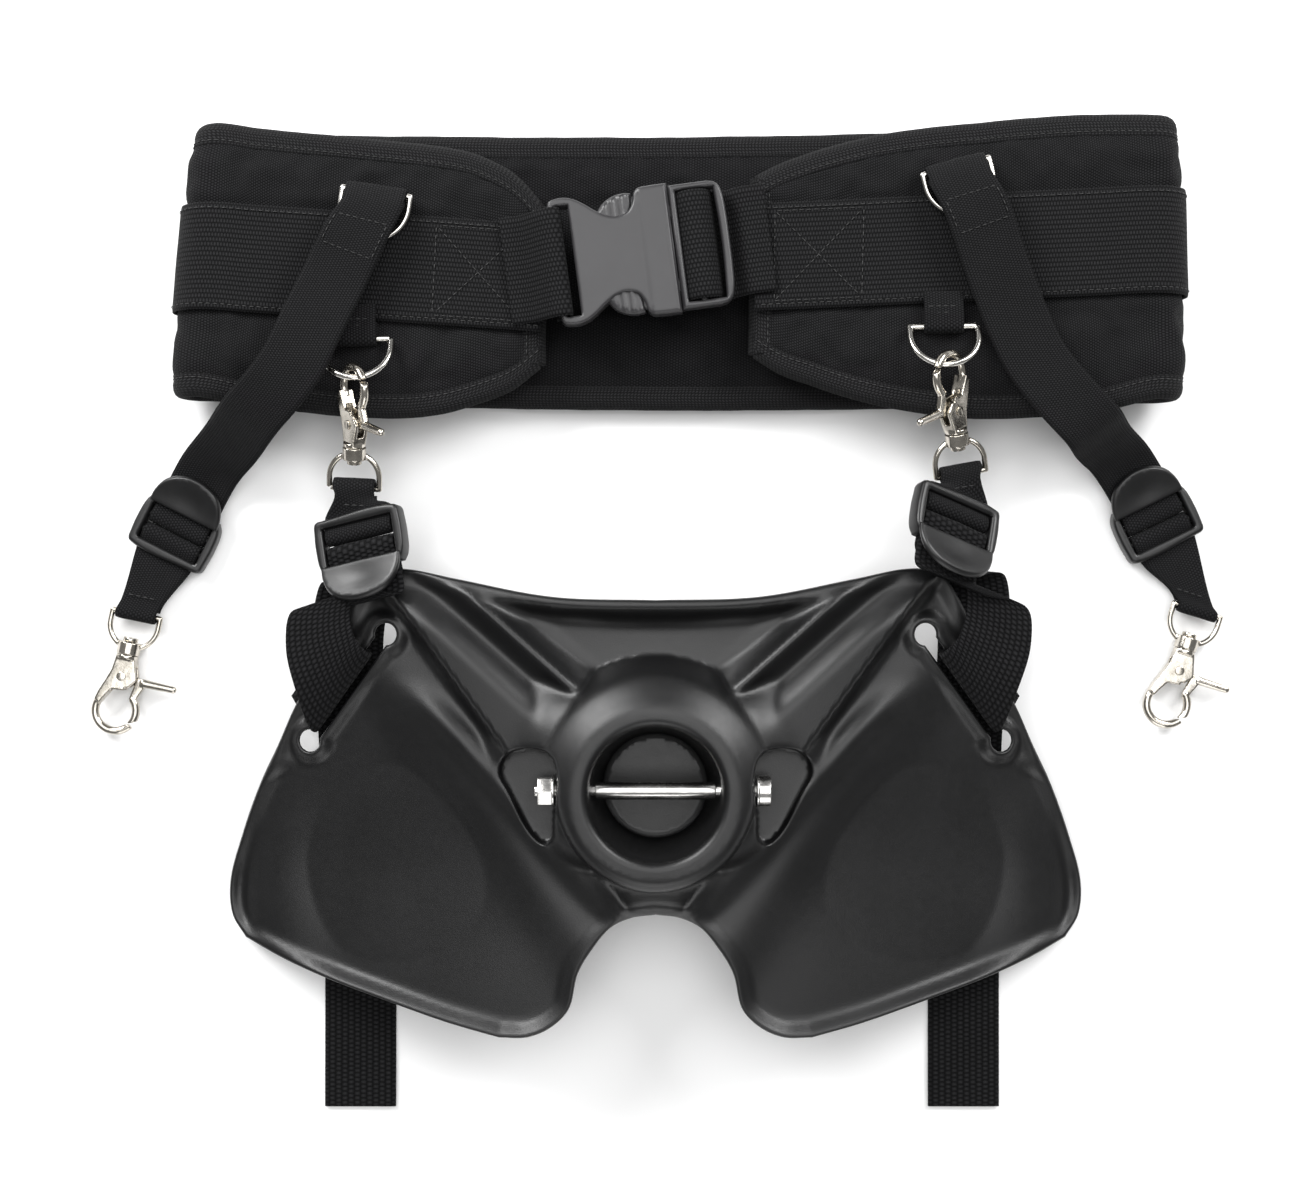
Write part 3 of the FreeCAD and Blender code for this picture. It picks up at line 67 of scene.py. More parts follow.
# ------------------------------------------------------------------ materials
class Nodes:
    """Short hand for building one material's node tree."""

    def __init__(self, name):
        self.mat = bpy.data.materials.new(name)
        self.mat.use_nodes = True
        self.tree = self.mat.node_tree
        self.shader = self.tree.nodes["Principled BSDF"]

    def new(self, kind, **values):
        node = self.tree.nodes.new(kind)
        for key, value in values.items():
            if hasattr(node, key) and key not in node.inputs:
                setattr(node, key, value)
            else:
                node.inputs[key].default_value = value
        return node

    def link(self, source, target):
        self.tree.links.new(source, target)

    def math(self, operation, first, second=None, third=None):
        node = self.tree.nodes.new("ShaderNodeMath")
        node.operation = operation
        for index, value in enumerate((first, second, third)):
            if value is None:
                continue
            if isinstance(value, (int, float)):
                node.inputs[index].default_value = value
            else:
                self.link(value, node.inputs[index])
        return node.outputs[0]

    def noise(self, scale, detail=3.0, vector=None, rough=0.55):
        node = self.tree.nodes.new("ShaderNodeTexNoise")
        node.inputs["Scale"].default_value = scale
        node.inputs["Detail"].default_value = detail
        node.inputs["Roughness"].default_value = rough
        if vector is None:
            vector = self.tree.nodes.new("ShaderNodeTexCoord").outputs["Object"]
        self.link(vector, node.inputs["Vector"])
        return node.outputs["Fac"]

    def ramp(self, source, low, high, a, b):
        node = self.tree.nodes.new("ShaderNodeMapRange")
        self.link(source, node.inputs["Value"])
        for name, value in (("From Min", low), ("From Max", high), ("To Min", a), ("To Max", b)):
            node.inputs[name].default_value = value
        return node.outputs["Result"]

    def colour(self, source, first, second):
        node = self.tree.nodes.new("ShaderNodeMix")
        node.data_type = "RGBA"
        self.link(source, node.inputs["Factor"])
        node.inputs[6].default_value = (*first, 1)
        node.inputs[7].default_value = (*second, 1)
        self.link(node.outputs[2], self.shader.inputs["Base Color"])

    def bump(self, height, distance, strength=1.0, under=None):
        node = self.tree.nodes.new("ShaderNodeBump")
        node.inputs["Strength"].default_value = strength
        node.inputs["Distance"].default_value = distance
        self.link(height, node.inputs["Height"])
        if under is not None:
            self.link(under, node.inputs["Normal"])
        return node.outputs["Normal"]

    def set(self, **values):
        for key, value in values.items():
            self.shader.inputs[key.replace("_", " ")].default_value = value


def woven(name, pitch_u, pitch_v, dark, light, depth, rough=0.78, chevron=0.0, sheen=0.02):
    """Woven cloth on UVs in metres: rows of floats that alternate from column to column, with painted highlights
    on the floats' tops.
    """
    m = Nodes(name)
    uv = m.new("ShaderNodeUVMap").outputs["UV"]
    split = m.new("ShaderNodeSeparateXYZ")
    m.link(uv, split.inputs[0])
    across = m.math("DIVIDE", split.outputs[0], pitch_u)
    along = m.math("DIVIDE", split.outputs[1], pitch_v)
    column = m.math("FLOOR", across)
    shift = m.math("FRACT", m.math("MULTIPLY", column, 0.5))
    if chevron:
        zigzag = m.math("PINGPONG", split.outputs[0], chevron)
        along = m.math("ADD", along, m.math("DIVIDE", zigzag, pitch_v))
    row = m.math("FRACT", m.math("ADD", along, shift))
    ridge = m.math("SINE", m.math("MULTIPLY", row, math.pi))
    cross = m.math("SINE", m.math("MULTIPLY", m.math("FRACT", across), math.pi))
    float_height = m.math("MULTIPLY", m.math("POWER", ridge, 0.7), m.math("POWER", cross, 0.5))
    fuzz = m.noise(2600.0, 2.0)
    patch = m.noise(45.0, 3.0)
    height = m.math("ADD", float_height, m.math("MULTIPLY", fuzz, 0.35))
    m.link(m.bump(height, depth, 0.9), m.shader.inputs["Normal"])
    # painted highlight: the crests of the floats are coloured lighter, speckled by the fuzz, as glints; the patch
    # noise adds real random tone
    painted_glint = m.math("MULTIPLY", m.math("POWER", float_height, 2.2), m.ramp(fuzz, 0.3, 0.7, 0.5, 1.2))
    glint_and_tone = m.math("ADD", painted_glint, m.math("MULTIPLY", patch, 0.12))
    m.colour(glint_and_tone, dark, light)
    m.link(m.ramp(patch, 0.3, 0.7, rough - 0.06, rough + 0.08), m.shader.inputs["Roughness"])
    m.set(Sheen_Weight=sheen, Sheen_Roughness=0.5, Specular_IOR_Level=0.07)
    return m.mat


def plastic(name, dark, light, rough, grain, depth):
    """Moulded plastic: fine grain, faint flow marks and dull handling patches."""
    m = Nodes(name)
    fine = m.noise(grain, 4.0, rough=0.7)
    broad = m.noise(28.0, 4.0)
    scuff = m.noise(260.0, 5.0, rough=0.75)
    m.colour(m.ramp(broad, 0.35, 0.7, 0.0, 1.0), dark, light)
    blend = m.math("ADD", m.math("MULTIPLY", broad, 0.10), m.math("MULTIPLY", scuff, 0.14))
    m.link(m.math("ADD", blend, rough - 0.15), m.shader.inputs["Roughness"])
    first = m.bump(fine, depth, 0.55)
    m.link(m.bump(broad, 0.0008, 0.06, first), m.shader.inputs["Normal"])
    m.set(Specular_IOR_Level=0.5)
    return m.mat


def metal(name, dark, light, rough):
    """Plated metal: faint waviness, hairline scratches and cloudy tarnish."""
    m = Nodes(name)
    cloud = m.noise(160.0, 4.0)
    wave = m.noise(420.0, 2.0)
    coord = m.new("ShaderNodeTexCoord").outputs["Object"]
    mapping = m.new("ShaderNodeMapping")
    mapping.inputs["Scale"].default_value = (1.0, 9.0, 1.0)
    m.link(coord, mapping.inputs["Vector"])
    scratch = m.noise(700.0, 5.0, mapping.outputs["Vector"], 0.8)
    m.colour(m.ramp(cloud, 0.35, 0.68, 0.0, 1.0), dark, light)
    m.link(m.ramp(scratch, 0.3, 0.75, rough - 0.05, rough + 0.14), m.shader.inputs["Roughness"])
    first = m.bump(wave, 0.00012, 0.35)
    m.link(m.bump(scratch, 0.00002, 0.3, first), m.shader.inputs["Normal"])
    m.set(Metallic=1.0)
    return m.mat


CLOTH = woven("pack_cloth_weave", 0.0011, 0.0013, (0.0016, 0.0016, 0.0018), (0.019, 0.019, 0.020),
              0.00028)
LINING = woven("lining_weave", 0.0013, 0.0013, (0.0016, 0.0016, 0.0018), (0.016, 0.016, 0.017),
               0.00022)
WEB = woven("webbing_rib", 0.0022, 0.00145, (0.0015, 0.0015, 0.0017), (0.020, 0.020, 0.021),
            0.00034, 0.72)
SIDE_WEB = woven("webbing_fine", 0.0013, 0.0012, (0.0015, 0.0015, 0.0017),
                 (0.018, 0.018, 0.019), 0.00026, 0.72)
TAIL_WEB = woven("webbing_herring", 0.0030, 0.0022, (0.0014, 0.0014, 0.0016),
                 (0.017, 0.017, 0.018), 0.00055, 0.7)
TWILL = woven("binding_twill", 0.0010, 0.0016, (0.0022, 0.0022, 0.0024), (0.026, 0.026, 0.027),
              0.0003, 0.76, chevron=0.0045)
THREAD = plastic("sewing_thread", (0.005, 0.005, 0.005), (0.014, 0.014, 0.014), 0.6, 3000.0,
                 0.0001)
PLATE = plastic("plate_grain", (0.0022, 0.0022, 0.0024), (0.0032, 0.0032, 0.0035), 0.42, 1500.0,
                0.00014)
BUCKLE_PLASTIC = plastic("buckle_satin", (0.024, 0.0235, 0.025), (0.031, 0.030, 0.032), 0.42,
                         2200.0, 0.00006)
LOCK = plastic("lock_satin", (0.0030, 0.0030, 0.0032), (0.0045, 0.0045, 0.0048), 0.40, 2200.0,
               0.00006)
NICKEL = metal("nickel_cast", (0.46, 0.43, 0.375), (0.64, 0.60, 0.54), 0.16)
RING = metal("ring_wire", (0.62, 0.60, 0.56), (0.78, 0.76, 0.72), 0.13)
STEEL = metal("stainless_bar", (0.60, 0.59, 0.57), (0.78, 0.77, 0.75), 0.20)


# ------------------------------------------------------------------ mesh helpers
def place(points):
    """Layout millimetres to the CAD frame in metres."""
    return (np.asarray(points, float) + ZERO) * MM


def make(name, points, faces, material, uvs=None):
    """A smooth-shaded piece from points in layout millimetres."""
    mesh = bpy.data.meshes.new(name)
    mesh.from_pydata(place(points).tolist(), [], faces)
    mesh.validate()
    if uvs is not None:
        layer = mesh.uv_layers.new(name="UVMap")
        index = np.empty(len(mesh.loops), int)
        mesh.loops.foreach_get("vertex_index", index)
        layer.data.foreach_set("uv", np.asarray(uvs, float)[index].ravel())
    mesh.polygons.foreach_set("use_smooth", [True] * len(mesh.polygons))
    piece = bpy.data.objects.new(name, mesh)
    scene.collection.objects.link(piece)
    mesh.materials.append(material)
    return piece


def settle(piece, body, slot, *replaced):
    """Puts a piece on its body and hides the CAD nodes it stands for; slot, its finish, is not used."""
    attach(piece, body)
    if replaced:
        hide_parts(*replaced)
    return piece


def baked(piece):
    """Applies a piece's modifiers."""
    graph = bpy.context.evaluated_depsgraph_get()
    mesh = bpy.data.meshes.new_from_object(piece.evaluated_get(graph))
    old = piece.data
    piece.modifiers.clear()
    piece.data = mesh
    bpy.data.meshes.remove(old)
    return piece


def refinished(piece, material):
    piece.data.materials.clear()
    piece.data.materials.append(material)


def copied(node, name, material):
    """A free copy of a CAD node's mesh."""
    piece = bpy.data.objects.new(name, nodes[node].data.copy())
    scene.collection.objects.link(piece)
    refinished(piece, material)
    for key in list(piece.keys()):
        del piece[key]
    return piece


@contextmanager
def edited(piece):
    """Opens a piece's mesh for editing and writes it back."""
    work = bmesh.new()
    work.from_mesh(piece.data)
    yield work
    work.to_mesh(piece.data)
    work.free()


def weld(piece, angle=None):
    """Joins a CAD mesh's doubled points, and merges faces that are flat to within angle."""
    with edited(piece) as work:
        bmesh.ops.remove_doubles(work, verts=work.verts, dist=1e-6)
        if angle is not None:
            bmesh.ops.dissolve_limit(work, angle_limit=math.radians(angle), verts=work.verts,
                                     edges=work.edges)


def cast(node, voxel, material, rounds, keep):
    """A casting: the CAD solid with every corner run together, as metal leaves a die."""
    piece = copied(node, node + "_cast", material)
    weld(piece)
    remesh = piece.modifiers.new("run", "REMESH")
    remesh.mode = "VOXEL"
    remesh.voxel_size = voxel * MM
    soft = piece.modifiers.new("soft", "SMOOTH")
    soft.factor = 0.5
    soft.iterations = rounds
    thin = piece.modifiers.new("thin", "DECIMATE")
    thin.ratio = keep
    baked(piece)
    refinished(piece, material)
    piece.data.polygons.foreach_set("use_smooth", [True] * len(piece.data.polygons))
    return piece


def bevelled(node, width, material, segments=3, angle=25):
    """A moulding: the CAD solid with its edges rounded off."""
    piece = copied(node, node + "_moulded", material)
    weld(piece, 1.0)
    bevel = piece.modifiers.new("edge", "BEVEL")
    bevel.width = width * MM
    bevel.segments = segments
    bevel.limit_method = "ANGLE"
    bevel.angle_limit = math.radians(angle)
    bevel.harden_normals = False
    baked(piece)
    with edited(piece) as work:
        for face in work.faces:
            face.smooth = True
        for edge in work.edges:
            edge.smooth = edge.calc_face_angle(3.0) < math.radians(38)
    refinished(piece, material)
    return piece


def outward(piece, join=0.0):
    """Turns every face outward, after joining points closer than join metres."""
    with edited(piece) as work:
        if join:
            bmesh.ops.remove_doubles(work, verts=work.verts, dist=join)
        bmesh.ops.recalc_face_normals(work, faces=work.faces)
    return piece


def unit(v):
    v = np.asarray(v, float)
    return v / max(np.linalg.norm(v), 1e-9)


def resample(rows, step):
    """Catmull-Rom through rows of numbers whose first three are a place, every step mm."""
    rows = np.asarray(rows, float)
    gaps = np.linalg.norm(np.diff(rows[:, :3], axis=0), axis=1)
    out = []
    padded = np.vstack([2 * rows[0] - rows[1], rows, 2 * rows[-1] - rows[-2]])
    for i, gap in enumerate(gaps):
        p0, p1, p2, p3 = padded[i:i + 4]
        d1 = max(gap, 1e-6)
        d0 = max(np.linalg.norm((p1 - p0)[:3]), 1e-6)
        d2 = max(np.linalg.norm((p3 - p2)[:3]), 1e-6)
        m1 = (p2 - p1) / d1 * 0.5 + (p1 - p0) / d0 * 0.5
        m2 = (p2 - p1) / d1 * 0.5 + (p3 - p2) / d2 * 0.5
        count = max(int(math.ceil(d1 / step)), 1)
        for k in range(count):
            t = k / count
            a = 2 * t ** 3 - 3 * t ** 2 + 1
            b = t ** 3 - 2 * t ** 2 + t
            out.append(a * p1 + b * m1 * d1 + (1 - a) * p2 + (t ** 3 - t ** 2) * m2 * d1)
    out.append(rows[-1])
    return np.array(out)


def run_of(rows):
    """Distance along a row of places, from the first to each."""
    steps = np.linalg.norm(np.diff(rows[:, :3], axis=0), axis=1)
    return np.concatenate([[0], np.cumsum(steps)])


def row_at(rows, run, where):
    return np.array([np.interp(where, run, column) for column in rows.T])


def tube_faces(count, size, reverse=False):
    """Faces of a tube of count rings with size points each, capped at both ends."""
    faces = []
    for i in range(count - 1):
        for k in range(size):
            a, b = i * size + k, i * size + (k + 1) % size
            faces.append((a, a + size, b + size, b) if reverse else (a, b, b + size, a + size))
    first, last = tuple(range(size)), tuple(range((count - 1) * size, count * size))
    return faces + ([first, last[::-1]] if reverse else [first[::-1], last])


def wobble(x, y, seed=0.0):
    """Smooth repeatable unevenness between about -1 and 1."""
    return (np.sin(x * 1.0 + seed) * np.cos(y * 1.3 - seed * 2)
            + 0.6 * np.sin(x * 2.3 - y * 1.7 + seed * 3)
            + 0.35 * np.sin(x * 4.9 + y * 3.1 + seed * 5)) / 1.95


def ribbon(name, stations, thickness, material, step, columns, crown, seed=0.0):
    """Webbing with rounded edges through (centre, half, normal, inner distance) stations."""
    rows = [np.concatenate([c + n * d, h, n]) for c, h, n, d in stations]
    rows = resample(rows, step)
    run = run_of(rows)
    shares = np.linspace(-1, 1, columns + 1)
    points, uvs = [], []
    for i, row in enumerate(rows):
        centre, half, normal = row[:3], row[3:6], unit(row[6:9])
        width = np.linalg.norm(half)
        lift = crown * wobble(run[i] / 9.0, shares * 2.0, seed)
        inner = [centre + half * s + normal * (l * 0.5) for s, l in zip(shares, lift)]
        outer = [centre + half * s + normal * (thickness + l) for s, l in zip(shares, lift)]
        edge = unit(half) * thickness * 0.32
        inner[0] = inner[0] + normal * thickness * 0.16
        inner[-1] = inner[-1] + normal * thickness * 0.16
        outer[0] = outer[0] - normal * thickness * 0.16
        outer[-1] = outer[-1] - normal * thickness * 0.16
        right = centre + half + edge * 0.4 + normal * thickness * 0.5
        left = centre - half - edge * 0.4 + normal * thickness * 0.5
        ring = inner + [right] + outer[::-1] + [left]
        points += ring
        u = np.concatenate([shares * width, [width + 0.5], shares[::-1] * width, [-width - 0.5]])
        uvs += [(a * MM, run[i] * MM) for a in u]
    faces = tube_faces(len(rows), 2 * (columns + 1) + 2)
    return make(name, np.array(points), faces, material, uvs)


def wrap(centre, half, start, top, radius, steps=8):
    """Stations of a half turn round a bar."""
    out = []
    for step in range(steps + 1):
        angle = math.pi * step / steps
        out.append((centre, half, top * math.sin(angle) + start * math.cos(angle), radius))
    return out


def squared(run, half):
    """The part of a direction that stands square to the webbing's width."""
    across = unit(half)
    return unit(run - across * np.dot(run, across))


def double_band(points, halves, gaps, open_end=2.0):
    """Stations of webbing doubled round a bar at each end of a centre line."""
    points = [np.asarray(p, float) for p in points]
    count = len(points)
    steps = [unit(points[i + 1] - points[i]) for i in range(count - 1)]
    normals = []
    for i in range(count):
        run = unit(steps[max(i - 1, 0)] + steps[min(i, count - 2)])
        normals.append(unit(np.cross(halves[i], run)))
    inner = range(1, count - 1)
    upper = [(points[i], halves[i], normals[i], gaps[i]) for i in inner]
    lower = [(points[i], halves[i], -normals[i], gaps[i]) for i in reversed(inner)]
    first = wrap(points[0], halves[0], -normals[0], squared(-steps[0], halves[0]), gaps[0])
    last = wrap(points[-1], halves[-1], normals[-1], squared(steps[-1], halves[-1]), gaps[-1])
    end = (points[0] + steps[0] * open_end, halves[0], -normals[0], gaps[0])
    return first + upper + last + lower + [end]


def stitches(name, lines, body, length=2.3, gap=1.1, radius=0.3, slot="webbing"):
    """Rows of thread: each line is (points, normals), laid as short rounded stitches."""
    verts, faces = [], []
    profile = [(-0.5, 0.25), (-0.32, 0.85), (0.0, 1.0), (0.32, 0.85), (0.5, 0.25)]
    skin = tube_faces(len(profile), 6)
    for points, normals in lines:
        rows = resample(np.hstack([points, normals]), 0.6)
        run = run_of(rows)
        at = 1.0
        while at + length < run[-1]:
            middle = row_at(rows, run, at + length / 2)
            centre, normal = middle[:3], unit(middle[3:])
            along = unit((row_at(rows, run, at + length) - row_at(rows, run, at))[:3])
            side = unit(np.cross(normal, along))
            base = len(verts)
            for share, fat in profile:
                for k in range(6):
                    a = math.tau * k / 6
                    verts.append(centre + along * share * length
                                 + (side * math.cos(a) + normal * math.sin(a) * 0.8)
                                 * radius * fat)
            faces += [tuple(base + k for k in face) for face in skin]
            at += length + gap
    piece = make(name, np.array(verts), faces, THREAD)
    return settle(piece, body, slot)


# ------------------------------------------------------------------ outlines and mouldings
def smooth(x, low, high):
    """Smooth step from 0 at low to 1 at high."""
    t = np.clip((x - low) / (high - low), 0, 1)
    return t * t * (3 - 2 * t)


def curve_through(points, step):
    rows = resample([(x, y, 0.0) for x, y in points], step)
    return rows[:, :2]


def offset(loop, distance):
    """A closed loop moved sideways, to the left of its run."""
    run = np.roll(loop, -1, axis=0) - np.roll(loop, 1, axis=0)
    run /= np.linalg.norm(run, axis=1)[:, None]
    return loop + distance * np.column_stack([-run[:, 1], run[:, 0]])


def wound(loop, way):
    """The loop turned anticlockwise (way 1) or clockwise (way -1)."""
    ahead = np.roll(loop, -1, axis=0)
    area = 0.5 * np.sum(loop[:, 0] * ahead[:, 1] - ahead[:, 0] * loop[:, 1])
    return loop if area * way > 0 else loop[::-1]


def inside(points, loop):
    """Even-odd test of many points against one closed loop."""
    x, y = points[:, 0], points[:, 1]
    result = np.zeros(len(points), bool)
    for (x1, y1), (x2, y2) in zip(loop, np.roll(loop, -1, axis=0)):
        if y1 != y2:
            crosses = (y1 > y) != (y2 > y)
            result ^= crosses & (x < (x2 - x1) * (y - y1) / (y2 - y1) + x1)
    return result


def gap_to(points, loop):
    """Distance from many points to the nearest run of a closed loop."""
    best = np.full(len(points), 1e9)
    for a, b in zip(loop, np.roll(loop, -1, axis=0)):
        run = b - a
        t = np.clip(((points - a) @ run) / max(run @ run, 1e-9), 0, 1)
        best = np.minimum(best, np.hypot(*(points - a - t[:, None] * run).T))
    return best


def nearest(points, loops):
    """Distance from many points to the nearest of several loops."""
    gap = gap_to(points, loops[0])
    for loop in loops[1:]:
        gap = np.minimum(gap, gap_to(points, loop))
    return gap


def in_any(points, loops):
    return np.any([inside(points, loop) for loop in loops], axis=0)


def rounded(edge, radius):
    """Drop of a rounded border at a distance from its edge."""
    t = 1 - np.clip(edge / radius, 0, 1)
    return radius * (1 - np.sqrt(np.clip(1 - t ** 2, 0, 1)))


def filled_region(loops, rings, spacing, keep_out):
    """Triangulates a region whose border loops and inner rings are kept as edges."""
    x = np.arange(loops[0][:, 0].min(), loops[0][:, 0].max(), spacing)
    y = np.arange(loops[0][:, 1].min(), loops[0][:, 1].max(), spacing)
    grid = np.array(np.meshgrid(x, y)).reshape(2, -1).T
    grid[:, 0] += (np.round((grid[:, 1] - y[0]) / spacing) % 2) * spacing / 2
    grid = grid[inside(grid, loops[0])]
    for loop in loops[1:]:
        grid = grid[~inside(grid, loop)]
    for loop in loops + rings:
        near = (grid[:, 0] > loop[:, 0].min() - 1) & (grid[:, 0] < loop[:, 0].max() + 1)
        gap = np.full(len(grid), 9.0)
        gap[near] = gap_to(grid[near], loop)
        grid = grid[gap > keep_out]
    points, edges = [], []
    for loop in loops + rings:
        base = len(points)
        points += [Vector(p) for p in loop]
        edges += [(base + k, base + (k + 1) % len(loop)) for k in range(len(loop))]
    points += [Vector(p) for p in grid]
    verts, _, faces, *_ = delaunay_2d_cdt(points, edges, [], 0, 1e-4)
    verts = np.array([tuple(v) for v in verts])
    faces = np.array(faces)
    middle = verts[faces].mean(axis=1)
    keep = inside(middle, loops[0])
    for loop in loops[1:]:
        keep &= ~inside(middle, loop)
    return verts, faces[keep]


def closed(points, step):
    """A closed loop through points, smooth except where a point is given twice."""
    points = [np.array(p, float) for p in points]
    runs, run = [], [points[0]]
    for point in points[1:] + points[:1]:
        if np.allclose(point, run[-1]):
            runs.append(run)
            run = [point]
        else:
            run.append(point)
    runs.append(run)
    return np.vstack([curve_through(part, step)[:-1] for part in runs if len(part) > 1])


def oblong(x0, y0, x1, y1, step=1.2):
    """A closed rectangular loop with sharp corners."""
    return closed([(x0, y0), (x1, y0), (x1, y0), (x1, y1), (x1, y1), (x0, y1), (x0, y1), (x0, y0),
                   (x0, y0)], step)


def slab(name, border, holes, thick, radius, to_world, material, spacing=1.3, rise=None):
    """A moulding with rounded edges: an outline with holes, in its own plane."""
    border = wound(border, 1)
    holes = [wound(hole, -1) for hole in holes]
    rings = [offset(loop, radius * share) for loop in [border] + holes
             for share in (0.12, 0.35, 0.65, 1.0)]
    flat_points, flat_faces = filled_region([border] + holes, rings, spacing, spacing * 0.5)
    edge = nearest(flat_points, [border] + holes)
    drop = rounded(edge, radius)
    extra = 0 if rise is None else rise(flat_points[:, 0], flat_points[:, 1])
    high = thick / 2 - drop + extra * smooth(edge, 0, radius)
    low = drop - thick / 2
    count = len(flat_points)
    points = [to_world(x, y, z) for (x, y), z in zip(flat_points, high)]
    points += [to_world(x, y, z) for (x, y), z in zip(flat_points, low)]
    faces = [tuple(int(i) for i in f) for f in flat_faces]
    faces += [tuple(int(i) + count for i in f[::-1]) for f in flat_faces]
    pairs = {(f[k], f[(k + 1) % 3]) for f in faces[:len(flat_faces)] for k in range(3)}
    faces += [(b, a, a + count, b + count) for a, b in sorted(pairs) if (b, a) not in pairs]
    return outward(make(name, np.array(points), faces, material))


# ------------------------------------------------------------------ padded belt
BACK_Z, LOW_Z, HIGH_Z = 8.0, 28.0, 26.6
PAD_FLOOR = 0.0006  # the pad's lowest points, m
SWELL_LIMIT = 0.0022  # the furthest the cloth may move, m
SWELL_FRAMES = 20
SEAM_HALF = 24.0  # from the middle of the waist webbing to its seams, mm
LEFT_ROWS = [(-54, -53, 111, 184), (-67, -65, 101, 197), (-83, -81, 94.5, 206),
             (-104, -98, 89, 210.5), (-135, -130, 88, 214), (-165, -160, 90.5, 217),
             (-193, -186, 94, 219.5)]
RIGHT_ROWS = [(46, 47, 116, 197), (58, 59, 108.5, 203), (72, 74, 103.5, 208.5), (95, 98, 96, 215),
              (122, 122, 90.5, 219), (150, 150, 87.5, 222), (180, 178, 88.3, 224.5),
              (208, 206, 90.5, 226)]
FOLDS = {"left": (-215.0, -205.0, 98.0, 222.0), "right": (236.0, 234.0, 97.0, 226.0)}
WEB_Y = {"left": (150.3, 160.8), "right": (160.0, 168.5)}


def belt_side(side):
    rows = LEFT_ROWS if side == "left" else RIGHT_ROWS
    low_x, high_x, low_y, high_y = FOLDS[side]
    out = [((x1, y1, LOW_Z), (x2, y2, HIGH_Z), (0, 0, 1)) for x1, x2, y1, y2 in rows]
    sign = -1 if side == "left" else 1
    low_r, high_r = (LOW_Z - BACK_Z) / 2, (HIGH_Z - BACK_Z) / 2
    for step in range(9):
        angle = math.pi * step / 8
        n = np.array([math.sin(angle) * sign, 0, math.cos(angle)])
        out.append((np.array([low_x, low_y, BACK_Z + low_r]) + n * low_r,
                    np.array([high_x, high_y, BACK_Z + high_r]) + n * high_r, n))
    heights = np.interp([row[0][0] if i < len(rows) else low_x for i, row in enumerate(out)],
                        sorted((rows[0][0], low_x)),
                        WEB_Y[side][::-1] if side == "left" else WEB_Y[side])
    return [np.concatenate([low, high, n, [w]]) for (low, high, n), w in zip(out, heights)]


def belt_rows():
    """Stations of the pad: low edge, high edge, normal and the waist webbing's middle."""
    left, right = belt_side("left"), belt_side("right")
    back = []
    for share in (0.25, 0.5, 0.75):
        row = left[-1] * (1 - share) + right[-1] * share
        row[[1, 4, 9]] -= 4.0 * math.sin(math.pi * share) * np.array([1, 1, 0])
        row[6:9] = (0, 0, -1)
        back.append(row)
    return np.array(left + back + right[::-1])


def belt_line(step):
    """The same stations, evenly and smoothly filled in."""
    rows = belt_rows()
    middle = (rows[:, :3] + rows[:, 3:6]) / 2
    filled = resample(np.hstack([middle, rows]), step)
    run = run_of(filled)
    rows = filled[:, 3:]
    rows[:, 6:9] /= np.linalg.norm(rows[:, 6:9], axis=1)[:, None]
    return rows, run


def pad_thickness(s, v, total, width, web):
    """Half thickness of the pad, sewn flat under its edge tape and along the webbing."""
    edge = np.minimum(np.minimum(v, width - v), np.minimum(s, total - s) + 1.0)
    rise = np.clip((edge - 7.0) / 13.0, 0, 1)
    body = 3.0 + 2.9 * np.sqrt(1 - (1 - rise) ** 2)
    seam = np.abs(np.abs(v - web) - SEAM_HALF)
    channel = 1.3 * np.exp(-(seam / 3.0) ** 2)
    under = np.where(np.abs(v - web) < WAIST_HALF, 0.35, 0.0)
    return np.clip(body - channel * (edge > 8) - under, 2.6, 6.0)


def swell(pad, held):
    """Cloth simulation: the skins are blown up and let out between the rows that are sewn."""
    before = np.array([v.co for v in pad.data.vertices])
    group = pad.vertex_groups.new(name="sewn")
    for index, weight in enumerate(held):
        if weight > 0:
            group.add([index], float(weight), "REPLACE")
    cloth = pad.modifiers.new("swell", "CLOTH")
    cloth.settings.quality = 6
    cloth.settings.mass = 0.15
    cloth.settings.tension_stiffness = 14
    cloth.settings.compression_stiffness = 14
    cloth.settings.bending_stiffness = 0.25
    cloth.settings.air_damping = 2.0
    cloth.settings.shrink_min = -0.035
    cloth.settings.use_pressure = True
    cloth.settings.uniform_pressure_force = 3.0
    cloth.settings.effector_weights.gravity = 0
    cloth.settings.vertex_group_mass = "sewn"
    cloth.point_cache.frame_start, cloth.point_cache.frame_end = 1, SWELL_FRAMES
    for step in range(1, SWELL_FRAMES + 1):
        scene.frame_set(step)
        bpy.context.view_layer.update()
    graph = bpy.context.evaluated_depsgraph_get()
    after = np.array([v.co for v in pad.evaluated_get(graph).data.vertices])
    pad.modifiers.clear()
    pad.vertex_groups.clear()
    scene.frame_set(1)
    move = after - before
    far = np.linalg.norm(move, axis=1)
    move *= np.minimum(1.0, SWELL_LIMIT / np.maximum(far, 1e-9))[:, None]
    placed = before + move
    placed[:, 2] = np.maximum(placed[:, 2], PAD_FLOOR)
    pad.data.vertices.foreach_set("co", placed.ravel())


